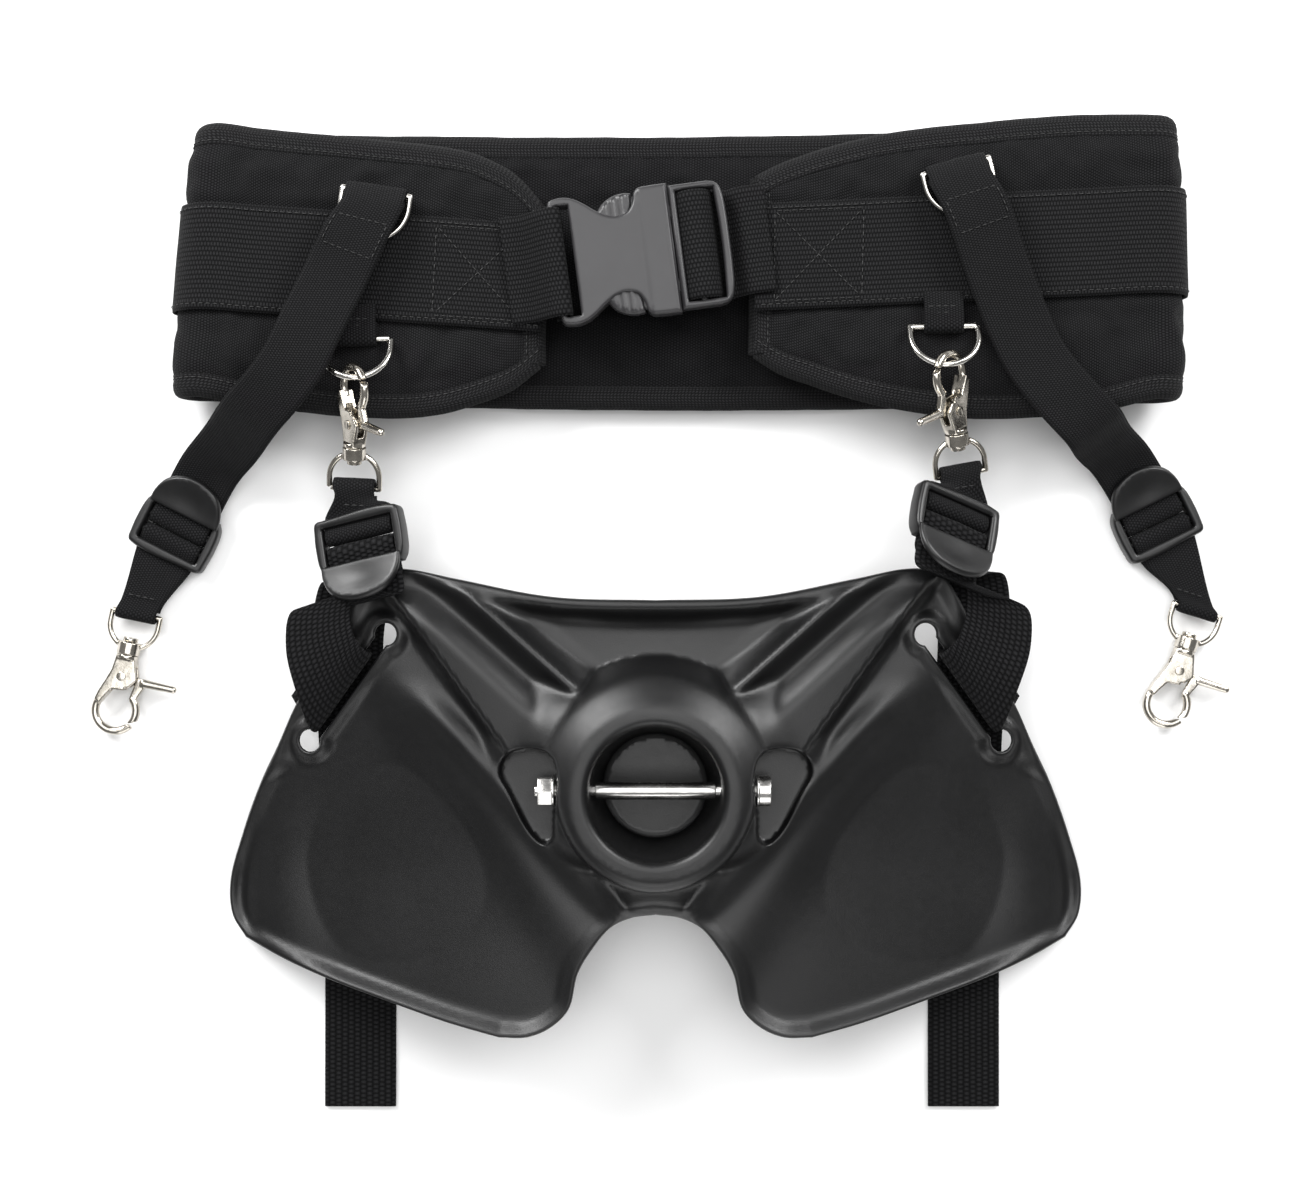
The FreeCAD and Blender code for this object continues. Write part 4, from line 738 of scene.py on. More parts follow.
def build_pad():
    """The padded belt: cloth in front and behind, swollen between its seams."""
    rows, run = belt_line(4.2)
    total = run[-1]
    columns = 34
    shares = np.linspace(0, 1, columns + 1)
    shares = 0.5 - 0.5 * np.cos(shares * math.pi) * 0.35 - 0.5 * (1 - 2 * shares) * 0.65
    points, uvs, held = [], [], []
    for row, s in zip(rows, run):
        low, high, normal, web_y = row[:3], row[3:6], row[6:9], row[9]
        width = np.linalg.norm(high - low)
        v = shares * width
        web = (web_y - low[1]) / (high[1] - low[1]) * width
        half = pad_thickness(s, v, total, width, web)
        fold = math.exp(-((abs((low[0] + high[0]) / 2 - 10) - 215) / 22.0) ** 2)
        ripple = (0.24 * wobble(s / 17.0, v / 23.0) + 0.5 * fold * wobble(s / 5.0, v / 40.0, 4.0)
                  ) * np.clip((v - 8) / 12, 0, 1) * np.clip((width - v - 8) / 12, 0, 1)
        ripple = np.minimum(ripple, 0.25)
        along = low + (high - low) * shares[:, None]
        points.append(np.vstack([along + normal * (half + ripple)[:, None],
                                 (along - normal * (half + ripple * 0.6)[:, None])[::-1]]))
        uvs.append(np.column_stack([np.full(2 * len(v), s * MM),
                                    np.concatenate([v, v[::-1] + 0.4]) * MM]))
        edge = np.minimum(np.minimum(v, width - v), np.minimum(s, total - s))
        free = smooth(edge, 7.5, 15.0) * smooth(np.abs(v - web), 25.5, 31.0)
        held.append(np.concatenate([1 - free, 1 - free[::-1]]))
    size = 2 * (columns + 1)
    faces = tube_faces(len(rows), size)[:-2]
    for start in (0, (len(rows) - 1) * size):
        for k in range(columns):
            a, b = start + k, start + k + 1
            c, d = start + size - 2 - k, start + size - 1 - k
            faces.append((a, b, c, d) if start else (d, c, b, a))
    pad = make("belt_pad", np.vstack(points), faces, CLOTH, np.vstack(uvs))
    pad.data.materials.append(LINING)
    for face in pad.data.polygons:
        if all(vertex % size > columns for vertex in face.vertices):
            face.material_index = 1
    swell(pad, np.concatenate(held))
    finer = pad.modifiers.new("finer", "SUBSURF")
    finer.levels = finer.render_levels = 1
    baked(pad)
    settle(pad, "belt", "pack_cloth", "belt_outer_cloth", "belt_foam", "belt_lining")


def build_bindings():
    """Twill tape folded over the pad's edges, with one row of stitching at its inner edge."""
    rows, run = belt_line(2.6)
    profile = [(8.6, 3.2), (8.5, 4.35), (8.1, 4.6), (6.4, 4.05), (3.6, 4.3), (1.0, 3.8),
               (-1.0, 2.7), (-2.1, 1.3), (-2.5, 0.0), (-2.1, -1.3), (-1.0, -2.7), (1.0, -3.8),
               (3.6, -4.3), (6.4, -4.05), (8.1, -4.6), (8.5, -4.35), (8.6, -3.2)]
    sewn = []
    for label, low_edge in (("lower_binding", True), ("upper_binding", False)):
        points, uvs = [], []
        line, under = [], []
        for row, s in zip(rows, run):
            low, high, normal = row[:3], row[3:6], row[6:9]
            inward = unit(high - low) if low_edge else unit(low - high)
            base = low if low_edge else high
            rough = 0.18 * wobble(s / 11.0, 0.0, 1.0 if low_edge else 3.0)
            for k, (a, b) in enumerate(profile):
                points.append(base + inward * (a + rough) + normal * (b + rough * 0.5))
                uvs.append((k * 1.9 * MM, s * MM))
            line.append(base + inward * 6.4 + normal * 4.3)
            under.append(normal)
        faces = tube_faces(len(rows), len(profile), reverse=True)
        tape = make(label + "_tape", np.array(points), faces, TWILL, uvs)
        settle(tape, "belt", "binding", label)
        sewn.append((np.array(line), np.array(under)))
    for side, index in (("left", 0), ("right", -1)):
        row = rows[index]
        low, high, normal = row[:3], row[3:6], row[6:9]
        inward = unit(rows[index + 4 if index == 0 else index - 4][:3] - low)
        inward = squared(inward, high - low)
        points, uvs = [], []
        steps = np.linspace(-0.01, 1.01, 60)
        for share in steps:
            base = low + (high - low) * share
            for k, (a, b) in enumerate(profile):
                points.append(base + inward * a * 0.97 + normal * (b * 0.97))
                uvs.append((k * 1.9 * MM, share * 0.075))
        faces = tube_faces(len(steps), len(profile), reverse=True)
        settle(make(f"{side}_tongue_tape", np.array(points), faces, TWILL, uvs), "belt",
               "binding")
        line = np.array([low + (high - low) * share + inward * 6.4 + normal * 4.3
                         for share in np.linspace(0.04, 0.96, 12)])
        sewn.append((line, np.tile(normal, (12, 1))))
    stitches("binding_stitches", sewn, "belt", slot="binding")


def build_waist_webbing():
    """The tape round the belt, its two seams, and a boxed cross sewn at each end."""
    rows, run = belt_line(2.6)
    stations, lines = [], [[], []]
    under = []
    for row in rows:
        low, high, normal, web_y = row[:3], row[3:6], row[6:9], row[9]
        share = (web_y - low[1]) / (high[1] - low[1])
        middle = low + (high - low) * share
        half = unit(high - low) * WAIST_HALF
        stations.append((middle, half, normal, 6.1))
        for k, sign in enumerate((-1, 1)):
            lines[k].append(middle + half * sign * 0.9 + normal * 7.95)
        under.append(normal)
    seen = np.array(under)[:, 2] > -0.3
    web = ribbon("waist_webbing_woven", stations, TAPE, WEB, 2.6, 24, 0.1)
    settle(web, "belt", "webbing", "waist_webbing")
    left_end = int(np.argmin(seen))
    right_end = len(seen) - int(np.argmin(seen[::-1]))
    sewn = [(np.array(line)[part], np.array(under)[part]) for line in lines
            for part in (slice(0, left_end), slice(right_end, None))]
    for side in (0, -1):
        frames = []
        for reach in (9.0, 50.0):
            at = reach if side == 0 else run[-1] - reach
            row = row_at(rows, run, at)
            share = (row[9] - row[1]) / (row[4] - row[1])
            middle = row[:3] + (row[3:6] - row[:3]) * share
            half = unit(row[3:6] - row[:3]) * 21.0
            for sign in (-1, 1):
                frames.append((middle + half * sign + row[6:9] * 7.95, row[6:9]))
        (a, n), (b, _), (c, _), (d, _) = frames
        for first, second in ((a, b), (b, d), (d, c), (c, a), (a, d), (b, c)):
            steps = np.linspace(0, 1, 6)[:, None]
            sewn.append((first + (second - first) * steps, np.tile(n, (6, 1))))
    stitches("waist_stitches", sewn, "belt")


# ------------------------------------------------------------------ side-release buckle
BUCKLE = np.array([-6.2, 161.1, 38.0])
TURN = math.radians(7.5)
SOCKET_WEB = [(-43.5, -6.5), (-38.6, -6.5), (-37.2, -5.6), (-37.0, 0), (-37.2, 5.6), (-38.2, 6.5),
              (-42, 6.5), (-46, 4.0), (-50, 0.6), (-54, -2.0), (-58, -2.4), (-64, -2.4)]
PLUG_WEB = [(60, -2.3), (49, -2.4), (45.5, -4.8), (43, -6.6), (39, -6.9), (35.6, -6.2),
            (34.0, -3.4), (33.2, 0.6), (31.2, 3.6), (28.0, 5.2), (24.6, 5.3), (21.6, 3.9),
            (19.8, 1.0), (19.8, -2.4), (22, -6.2), (27, -8.5), (33, -8.9), (41, -8.9)]


def from_buckle(x, y, z):
    c, s = math.cos(TURN), math.sin(TURN)
    return BUCKLE + np.array([x * c - y * s, x * s + y * c, z])


def build_buckle_webbing():
    """The tape ends that hold the socket and the plug."""
    y_axis = np.array([-math.sin(TURN), math.cos(TURN), 0.0])
    for label, path in (("socket_web", SOCKET_WEB), ("plug_web", PLUG_WEB)):
        points = [from_buckle(x, 0, z) for x, z in path]
        stations = []
        for i, point in enumerate(points):
            run = points[min(i + 1, len(points) - 1)] - points[max(i - 1, 0)]
            stations.append((point, y_axis * WAIST_HALF, unit(np.cross(y_axis, run)), 0.0))
        web = ribbon(label + "_woven", stations, TAPE, WEB, 1.0, 20, 0.12, 3.0)
        settle(web, "belt", "webbing", label)


SOCKET_HALF = [(-41.0, 26.4), (-40.2, 28.2), (-37.5, 29.2), (-33.0, 29.4), (-28.6, 28.2),
               (-24.0, 25.4), (-19.6, 22.0), (-14.5, 18.9), (-9.0, 17.8), (-4.2, 19.4),
               (-1.6, 23.4), (-0.4, 27.6), (1.6, 29.4), (6.0, 29.9), (15.0, 30.0)]
PAD_OUTLINE = [(-19.0, 20.4), (-15.6, 24.6), (-10.7, 27.4), (-5.6, 28.3), (-1.8, 27.8),
               (-1.8, 27.8), (-2.6, 20.5), (-5.5, 15.4), (-10.0, 13.8), (-16.0, 15.4)]
FRAME_HALF = [(15.5, 28.8), (33.5, 28.8), (33.5, 28.8), (36.6, 28.2), (38.8, 26.4), (40.2, 22.0),
              (41.0, 10.0)]


def build_buckle():
    """Flat moulded socket with finger cut-outs, thumb pads in them, and the plug's frame."""
    mirror = np.array([1, -1])
    half = curve_through(SOCKET_HALF, 1.0)
    socket = np.vstack([half, half[::-1] * mirror])
    slot = oblong(-38, -25.6, -31.5, 25.6)
    piece = slab("socket_moulding", socket, [slot], 12.0, 1.9, from_buckle, BUCKLE_PLASTIC,
                 1.4, lambda x, y: 0.5 * smooth(x, 0.8, 2.2) - 0.5 * (y / 30.0) ** 2)
    settle(piece, "belt", "buckle_plastic", "buckle_socket")
    half = np.vstack([curve_through(FRAME_HALF[:2], 1.2), curve_through(FRAME_HALF[3:], 1.2)])
    frame_loop = np.vstack([half, half[::-1] * mirror])
    window = closed([(18.6, -25.8), (36.4, -25.8), (36.4, -25.8), (37.2, -10), (37.4, 0),
                     (37.2, 10), (36.4, 25.8), (36.4, 25.8), (18.6, 25.8), (18.6, 25.8),
                     (18.6, -25.8), (18.6, -25.8)], 1.2)
    piece = slab("plug_moulding", frame_loop, [window], 10.0, 1.5, from_buckle, BUCKLE_PLASTIC)
    settle(piece, "belt", "buckle_plastic", "buckle_plug")
    bar = oblong(24.2, -26.6, 27.8, 26.6, 1.5)
    settle(slab("plug_bar", bar, [], 4.0, 1.2, from_buckle, BUCKLE_PLASTIC, 1.0), "belt",
           "buckle_plastic")
    for label, way in (("upper_prong", 1), ("lower_prong", -1)):
        settle(bevelled(label, 1.0, BUCKLE_PLASTIC), label, "buckle_plastic", label)
        pad = closed(PAD_OUTLINE, 0.9) * (1, way)
        settle(slab(label + "_pad", pad, [], 9.0, 2.4, from_buckle, BUCKLE_PLASTIC, 1.1,
                    lambda x, y: 0.5 * np.sin(np.clip(x + 16, 0, 12) * 1.6)),
               label, "buckle_plastic")


# ------------------------------------------------------------------ rings and tabs
RINGS = {"upper_left": (-129.5, 189.3, -8.5), "upper_right": (139.3, 201.2, 14.8),
         "lower_left": (-138.7, 121.2, 1.26), "lower_right": (133.9, 127.2, 1.26)}


def build_tabs():
    """Webbing tabs that hold the rings; each of the lower two gets two rows of stitching."""
    for key in RINGS:
        low, high = (np.array(p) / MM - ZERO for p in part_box(key + "_tab"))
        angle = math.radians(RINGS[key][2])
        along = np.array([math.cos(angle), math.sin(angle), 0])
        toward = np.array([-math.sin(angle), math.cos(angle), 0])
        x, y, _ = RINGS[key]
        middle_z = (low[2] + high[2]) / 2
        if key.startswith("lower"):
            centre = np.array([x, y, middle_z])
            width, radius, thick, leg = 9.0, 1.8, 1.6, 16.0
        else:
            toward = -toward
            centre = np.array([x, y, middle_z]) + toward * 21.5
            width, radius, thick, leg = 4.05, 2.4, 0.8, 8.0
        half = along * width
        reaches = (leg, leg * 0.5)
        stations = [(centre + toward * a, half, UP, radius) for a in reaches]
        stations += wrap(centre, half, UP, -toward, radius)
        stations += [(centre + toward * a, half, -UP, radius) for a in reaches[::-1]]
        if key.startswith("lower"):
            stations[0] = (centre + toward * leg, half, UP, 0.6)
            stations[-1] = (centre + toward * leg * 0.5, half, -UP, radius)
        tab = ribbon(key + "_tab_woven", stations, thick, SIDE_WEB, 0.9, 10, 0.08, 1.0)
        settle(tab, "belt", "webbing", key + "_tab")
        if key.startswith("lower"):
            lines = []
            for reach in (6.0, 9.0):
                line = np.array([centre + toward * reach + along * s + UP * (radius + 1.5)
                                 for s in np.linspace(-8.2, 8.2, 5)])
                lines.append((line, np.tile(UP, (5, 1))))
            stitches(key + "_tab_stitches", lines, "belt")


# ------------------------------------------------------------------ side straps
SIDE = {
    "left": {"lock": (-237.0, 20.5), "up": (0.451, 0.893), "eye": (-250.0, -6.8),
             "hook": (0.213, 0.977),
             "route": [(-223.5, 47.0, 5.0, -26.8), (-214.5, 62.0, 8.5, -30),
                       (-201.0, 74.0, 22.0, -36), (-187.5, 86.0, 40.0, -36),
                       (-175.5, 97.0, 48.5, -31), (-166.0, 109.0, 51.0, -27),
                       (-158.0, 126.0, 50.0, -25), (-146.5, 151.0, 46.0, -23),
                       (-137.5, 170.5, 45.6, -17), (-131.0, 182.3, 43.8, -9)]},
    "right": {"lock": (246.9, 25.1), "up": (-0.44, 0.898), "eye": (261.0, -5.0),
              "hook": (0.309, 0.951),
              "route": [(233.7, 52.0, 5.0, 26), (223.5, 66.5, 9.5, 30),
                        (211.5, 74.5, 24.0, 35), (203.0, 81.0, 38.5, 35),
                        (189.0, 95.0, 42.0, 31), (176.0, 112.0, 41.0, 25),
                        (167.0, 131.0, 41.0, 22.5), (156.5, 157.0, 43.5, 21.5),
                        (147.2, 182.5, 45.6, 18), (141.2, 194.2, 43.8, 15)]},
}
# Height of a lock's bars, how far up its frame each lies, and the webbing's bend round them.
LOCK_BAR_Z, LOCK_ONE, LOCK_TWO, LOCK_WRAP = 4.4, 16.6, 8.5, 2.42


def flat(angle):
    return np.array([math.cos(math.radians(angle)), math.sin(math.radians(angle)), 0.0])


def eye_loop(label, lock_bar, lock_half, eye_bar, eye_across, wrap_gap, body):
    """The short doubled webbing between a lock's second bar and a snap's eye."""
    eye_half = eye_across * (26.0 / 2 - 2.7 - 0.3 * 2.5)
    run = unit(eye_bar - lock_bar)
    points = [eye_bar, eye_bar - run * 5.5, lock_bar + run * (LOCK_TWO + 1.5),
              lock_bar + run * (LOCK_TWO - 2.5), lock_bar]
    halves = [eye_half, eye_half, lock_half * 0.96, lock_half, lock_half]
    eye_gap = 1.35 + wrap_gap
    gaps = [eye_gap, eye_gap * 0.5, 0.3, 0.3, LOCK_WRAP]
    web = ribbon(label + "_woven", double_band(points, halves, gaps, 2.5), TAPE, SIDE_WEB, 1.2,
                 12, 0.14, 2.0)
    settle(web, body, "webbing", label)
    ahead = eye_bar - run * 9.0
    normal = unit(np.cross(eye_half, run))
    normal = normal if normal[2] > 0 else -normal
    line = np.array([ahead + unit(eye_half) * s + normal * 3.2 for s in np.linspace(-8, 8, 4)])
    stitches(label + "_stitches", [(line, np.tile(normal, (4, 1)))], body)


def build_side(side):
    """One long side strap: its doubled webbing, eye loop, lock and box of stitches."""
    data = SIDE[side]
    up = unit([*data["up"], 0])
    across = np.cross(up, UP)
    origin = np.array([*data["lock"], 0.0])
    first = origin + up * LOCK_ONE + UP * LOCK_BAR_Z
    x, y, angle = RINGS["upper_" + side]
    low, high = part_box("upper_" + side + "_ring")
    bar_z = (low.z + high.z) / 2 / MM - ZERO[2]
    points = [first] + [np.array(row[:3]) for row in data["route"]] + [np.array([x, y, bar_z])]
    angles = [math.degrees(math.atan2(across[1], across[0]))]
    angles += [row[3] for row in data["route"]] + [angle]
    halves = [flat(a) * SIDE_HALF for a in angles]
    for index in (-1, -2):
        halves[index] = flat(angle) * (28.5 / 2 - 0.3)
    gaps = [LOCK_WRAP] + [0.25] * (len(points) - 2) + [1.9]
    strap = ribbon(f"side_{side}_strap_woven", double_band(points, halves, gaps), TAPE, SIDE_WEB,
                   1.8, 14, 0.22, 5.0)
    body = f"side_{side}_strap"
    settle(strap, body, "webbing", f"side_{side}_strap")
    second = origin + up * LOCK_TWO + UP * LOCK_BAR_Z
    hook_up = unit([*data["hook"], 0])
    eye_loop(f"side_{side}_eye_loop", second, across * SIDE_HALF, np.array([*data["eye"], 5.9]),
             np.cross(hook_up, UP), 0.4, f"side_{side}_lock")
    build_lock(f"side_{side}_lock", f"side_{side}_lock", SIDE_HALF, origin, across, up, UP)
    route = np.array([row[:3] for row in data["route"]])[::-1]
    shares = resample(np.hstack([route, np.array(halves[1:-1])[::-1]]), 3.0)
    lines = []
    for place_in_run in (3, 9):
        row = shares[place_in_run]
        across_row = row[3:6]
        lines.append((np.array([row[:3] + across_row * t + UP * 2.15
                                for t in np.linspace(-0.84, 0.84, 6)]), np.tile(UP, (6, 1))))
    for sign in (-0.84, 0.84):
        rows = shares[3:10]
        lines.append((rows[:, :3] + rows[:, 3:6] * sign + UP * 2.15, np.tile(UP, (len(rows), 1))))
    stitches(f"side_{side}_stitches", lines, body)


# ------------------------------------------------------------------ drop straps
DROP = {
    "left": {"across": (0.93, 0.208, 0.30), "toward": (-0.22, -0.97, 0.02), "lean": 3.0,
             "front": [(-153.5, 0.0, 40.0, 15.4, 5.5, 1.5), (-156.5, -13.0, 39.5, 14.8, 8.5, 1.0),
                       (-153.5, -29.0, 38.2, 13.8, 12.0, 1.0)],
             "tail": [(-141.0, 8.0, 21.5), (-147.0, -20.0, 14.0), (-145.0, -60.0, 8.0),
                      (-143.5, -105.0, 2.4), (-142.8, -170.0, 0.5)]},
    "right": {"across": (0.87, -0.34, -0.36), "toward": (0.42, -0.9, 0.04), "lean": -10.0,
              "front": [(157.5, 2.0, 42.0, 15.2, -6.5, -2.5), (159.0, -12.0, 40.2, 14.8, -8.8, -1.0),
                        (154.5, -29.0, 38.4, 13.8, -12.0, -1.0)],
              "tail": [(149.0, 11.0, 18.5), (152.0, -20.0, 13.0), (149.5, -60.0, 8.0),
                       (149.1, -105.0, 2.4), (149.1, -170.0, 0.5)]},
}
TAIL_END_Y = -245.0
SLOT_TOP, SLOT_LOW = np.array([126.0, -16.0]), np.array([163.5, -66.5])
SLOT_WIDE, SLOT_BULB = 6.6, 5.25
RADIUS, CROWN_Z = 467.0, 51.0  # the shell's curve and its highest point
SHELL = 4.6


def plate_z(x):
    """Middle of the plate's shell."""
    return CROWN_Z - RADIUS + np.sqrt(RADIUS ** 2 - np.asarray(x, float) ** 2)


def build_drop(side):
    """One short drop strap: eye loop, lock, the front run into the slot and the hanging tail."""
    data = DROP[side]
    sign = -1 if side == "left" else 1
    eye_bar = np.array(joint[f"drop_{side}_swivel"]["pos_m"]) / MM - ZERO
    down = np.array(joint[f"drop_{side}_swivel"]["axis"])
    eye_bar = eye_bar + down * 20.0
    lean = math.radians(data["lean"])
    eye_across = np.array([-math.cos(lean), math.sin(lean), 0])
    across = unit(data["across"])
    toward = np.array(data["toward"])
    lock_up = unit(toward - across * np.dot(toward, across))
    across = -across
    normal = np.cross(across, lock_up)
    middle = eye_bar + lock_up * 21.0
    base = middle - lock_up * LOCK_TWO - normal * LOCK_BAR_Z
    half = across * DROP_HALF
    second = base + lock_up * LOCK_TWO + normal * LOCK_BAR_Z
    eye_loop(f"drop_{side}_eye_loop", second, half, eye_bar, eye_across, 1.9, "plate_rig")
    build_lock(f"drop_{side}_lock", "plate_rig", DROP_HALF, base, across, lock_up, normal)
    bar = base + lock_up * LOCK_ONE + normal * LOCK_BAR_Z
    mid = (SLOT_TOP + SLOT_LOW) / 2
    slot_mid = np.array([sign * (mid[0] + 2.0), mid[1] - 2.5, 0.0])
    slot_mid[2] = plate_z(slot_mid[0])
    slope = -slot_mid[0] / RADIUS
    run = unit([SLOT_LOW[0] - SLOT_TOP[0], (SLOT_LOW[1] - SLOT_TOP[1]) * sign, 0])
    run[2] = run[0] * slope
    slot_across = run * 23.0
    out = np.array([sign * 0.8, 0.6, 0.0])
    out[2] = out[0] * slope
    edge = SHELL / 2 + 1.2
    wide = half if half[0] > 0 else -half
    stations = [
        (slot_mid + out * 21 - UP * (edge + 4.5), slot_across * 0.8, -UP, 0.0),
        (slot_mid + out * 10 - UP * (edge + 1.6), slot_across * 0.95, -UP, 0.0),
        (slot_mid + out * 2.2 - UP * (edge + 0.2), slot_across, unit(-UP - out * 0.5), 0.0),
        (slot_mid + out * 0.9, slot_across, -out, 0.0),
        (slot_mid + out * 2.2 + UP * (edge + 0.6), slot_across, unit(UP - out * 0.5), 0.0),
    ]
    for row in reversed(data["front"]):
        stations.append((np.array(row[:3]), np.array(row[3:]), UP, 0.0))
    face = normal if normal[2] > 0 else -normal
    stations.append((bar + lock_up * 25 + face * 1.2, wide, face, 0.0))
    stations.append((bar + lock_up * 6 + face * 1.0, wide, face, 0.0))
    stations += wrap(bar, wide, face, -lock_up, LOCK_WRAP)
    stations.append((bar + lock_up * 6 - face * 1.0, wide, -face, 0.0))
    stations.append((bar + lock_up * 14 - face * 1.2, wide, -face, 0.0))
    tail_half = np.array([DROP_HALF, 0, 0])
    last_x, _, last_z = data["tail"][-1]
    for row in data["tail"] + [(last_x, TAIL_END_Y, last_z)]:
        stations.append((np.array(row), tail_half, -UP, -TAPE))
    strap = ribbon(f"drop_{side}_strap_woven", stations, TAPE, TAIL_WEB, 1.5, 16, 0.2,
                   7.0 + sign)
    settle(strap, "plate_rig", "webbing", f"drop_{side}_strap")


# ------------------------------------------------------------------ gimbal plate
CUP_Y = -87.0
FLOOR_Z = 0.6  # the under face comes no lower
POCKET_FLOOR, POCKET_UNDER = 43.4, 40.6  # top and under side of a bolt pocket's floor
CUP_TOP, CUP_LIP = 74.0, 37  # height of the cup's rim, and the radius its profile ends at
OUTLINE_TOP = [(0, 0), (47, 1.5), (93, 10), (116, 14.5), (126, 14.5), (135, 11.5), (143, 0)]
OUTLINE_SIDE = [(143, 0), (161, -34), (171, -50), (180, -69), (189, -87), (199, -113),
                (205.5, -137), (204, -152), (197, -162)]
OUTLINE_LOW = [(197, -162), (179, -170), (158, -177.5), (126, -187), (95, -196), (72, -201.5)]
OUTLINE_NOTCH = [(72, -201.5), (59, -201), (48.5, -196.5), (40, -188), (35.5, -171),
                 (29, -160), (20.5, -150), (11, -145.5), (0, -144)]
POCKET = [(46, -104), (46, -72), (50, -68.6), (64, -68.6), (70, -73), (71.5, -80), (68, -87),
          (54, -110.5), (50, -112), (47, -109)]
CUP_PROFILE = [(0, 28.0), (22.6, 28.0), (23.2, 28.6), (24.4, 28.6), (24.8, 30.0), (29.8, 58.6),
               (30.0, 59.5), (30.1, 70.0), (30.6, 71.8), (31.6, 73.2), (33.2, 74.0), (37.0, 74.0)]
CUP_RINGS = (22.6, 23.2, 24.4, 24.8, 27.4, 29.8, 30.1, 31.0, 32.2, 33.4, 34.6, 36.2, 38.6, 40.0,
             41.4, 42.6, 43.6, 44.5, 45.1, 45.8, 47.0)


def line_side(x, y, a, b):
    """Signed distance from the line a to b, positive on the outer, lower side."""
    run = np.array(b, float) - np.array(a, float)
    run /= np.linalg.norm(run)
    return (x - a[0]) * -run[1] + (y - a[1]) * run[0]


def plate_outline(step=1.6):
    """The plate's edge, from the top middle down the right side and back up the left."""
    half = [curve_through(part, step)[:-1] for part in
            (OUTLINE_TOP, OUTLINE_SIDE, OUTLINE_LOW, OUTLINE_NOTCH)]
    half = np.vstack(half + [[OUTLINE_NOTCH[-1]]])
    return np.vstack([half, (half * (-1, 1))[-2:0:-1]])


def slot_outline(sign, step=1.0):
    """Slanted webbing slot with a rounded bulb at each end."""
    low = np.array([SLOT_LOW[0] * sign, SLOT_LOW[1]])
    high = np.array([SLOT_TOP[0] * sign, SLOT_TOP[1]])
    opening = math.asin(SLOT_WIDE / 2 / SLOT_BULB)
    loop = []
    for end, other in ((high, low), (low, high)):
        toward = math.atan2(*(other - end)[::-1])
        count = int(SLOT_BULB * (math.tau - 2 * opening) / step)
        for turn in np.linspace(toward + opening, toward + math.tau - opening, count):
            loop.append(end + SLOT_BULB * np.array([math.cos(turn), math.sin(turn)]))
        a, b = loop[-1], other + (loop[-1] - end)
        for share in np.arange(0.06, 0.8, 0.05):
            loop.append(a + (other - end) * share * (1 - 2 * SLOT_BULB * math.cos(opening)
                                                     / np.linalg.norm(other - end)) / 0.8)
    return np.array(loop)


def relief(x, y):
    """How far the moulded top stands from a plain curved shell."""
    side = np.abs(x)
    panel_edge = line_side(side, y, (88.0, 4.0), (17.3, -58.5))
    crease = line_side(side, y, (127.5, 8.0), (68.5, -70.5))
    ridge = line_side(side, y, (122.0, -29.0), (18.0, -142.0))
    top = -y + side ** 2 * 0.0011
    # the dished panel above the cup, its lip and the V arm beside it
    depth = smooth(top, 2, 15) * (1 - 0.70 * smooth(top, 16, 56))
    height = -12.5 * smooth(-panel_edge, -0.8, 17) * depth
    height += 5.0 * np.exp(-(panel_edge / 3.8) ** 2) * smooth(top, 0, 12)
    inner = smooth(-crease, -0.6, 1.8)
    height += 6.0 * smooth(panel_edge, 9, 24) * inner * smooth(top, 0, 26)
    height -= 3.4 * np.exp(-((panel_edge - 10.5) / 5.5) ** 2) * inner
    # the step down from the arm to the wing
    height -= 5.4 * smooth(crease, 0.2, 3.0)
    height += 1.6 * np.exp(-((crease - 2.6) / 1.6) ** 2)
    height += 3.0 * np.exp(-((crease - 24.0) / 15.0) ** 2) * (crease > 0)
    height += 4.6 * np.exp(-(ridge / 6.5) ** 2) * smooth(-y, 34, 64)
    # the dished wing beyond the slanting ridge
    beyond = smooth(ridge, 2, 30)
    wing = np.exp(-(((side - 128) / 46.0) ** 2 + ((y + 120) / 42.0) ** 2))
    height -= 9.5 * beyond * wing
    height += 3.4 * beyond * smooth(side, 145, 182) * smooth(-y, 60, 110) * (
        1 - smooth(side, 188, 207))
    height += 2.0 * np.exp(-((np.hypot(side - 147, (y + 92) * 0.8)) / 26.0) ** 2)
    return height


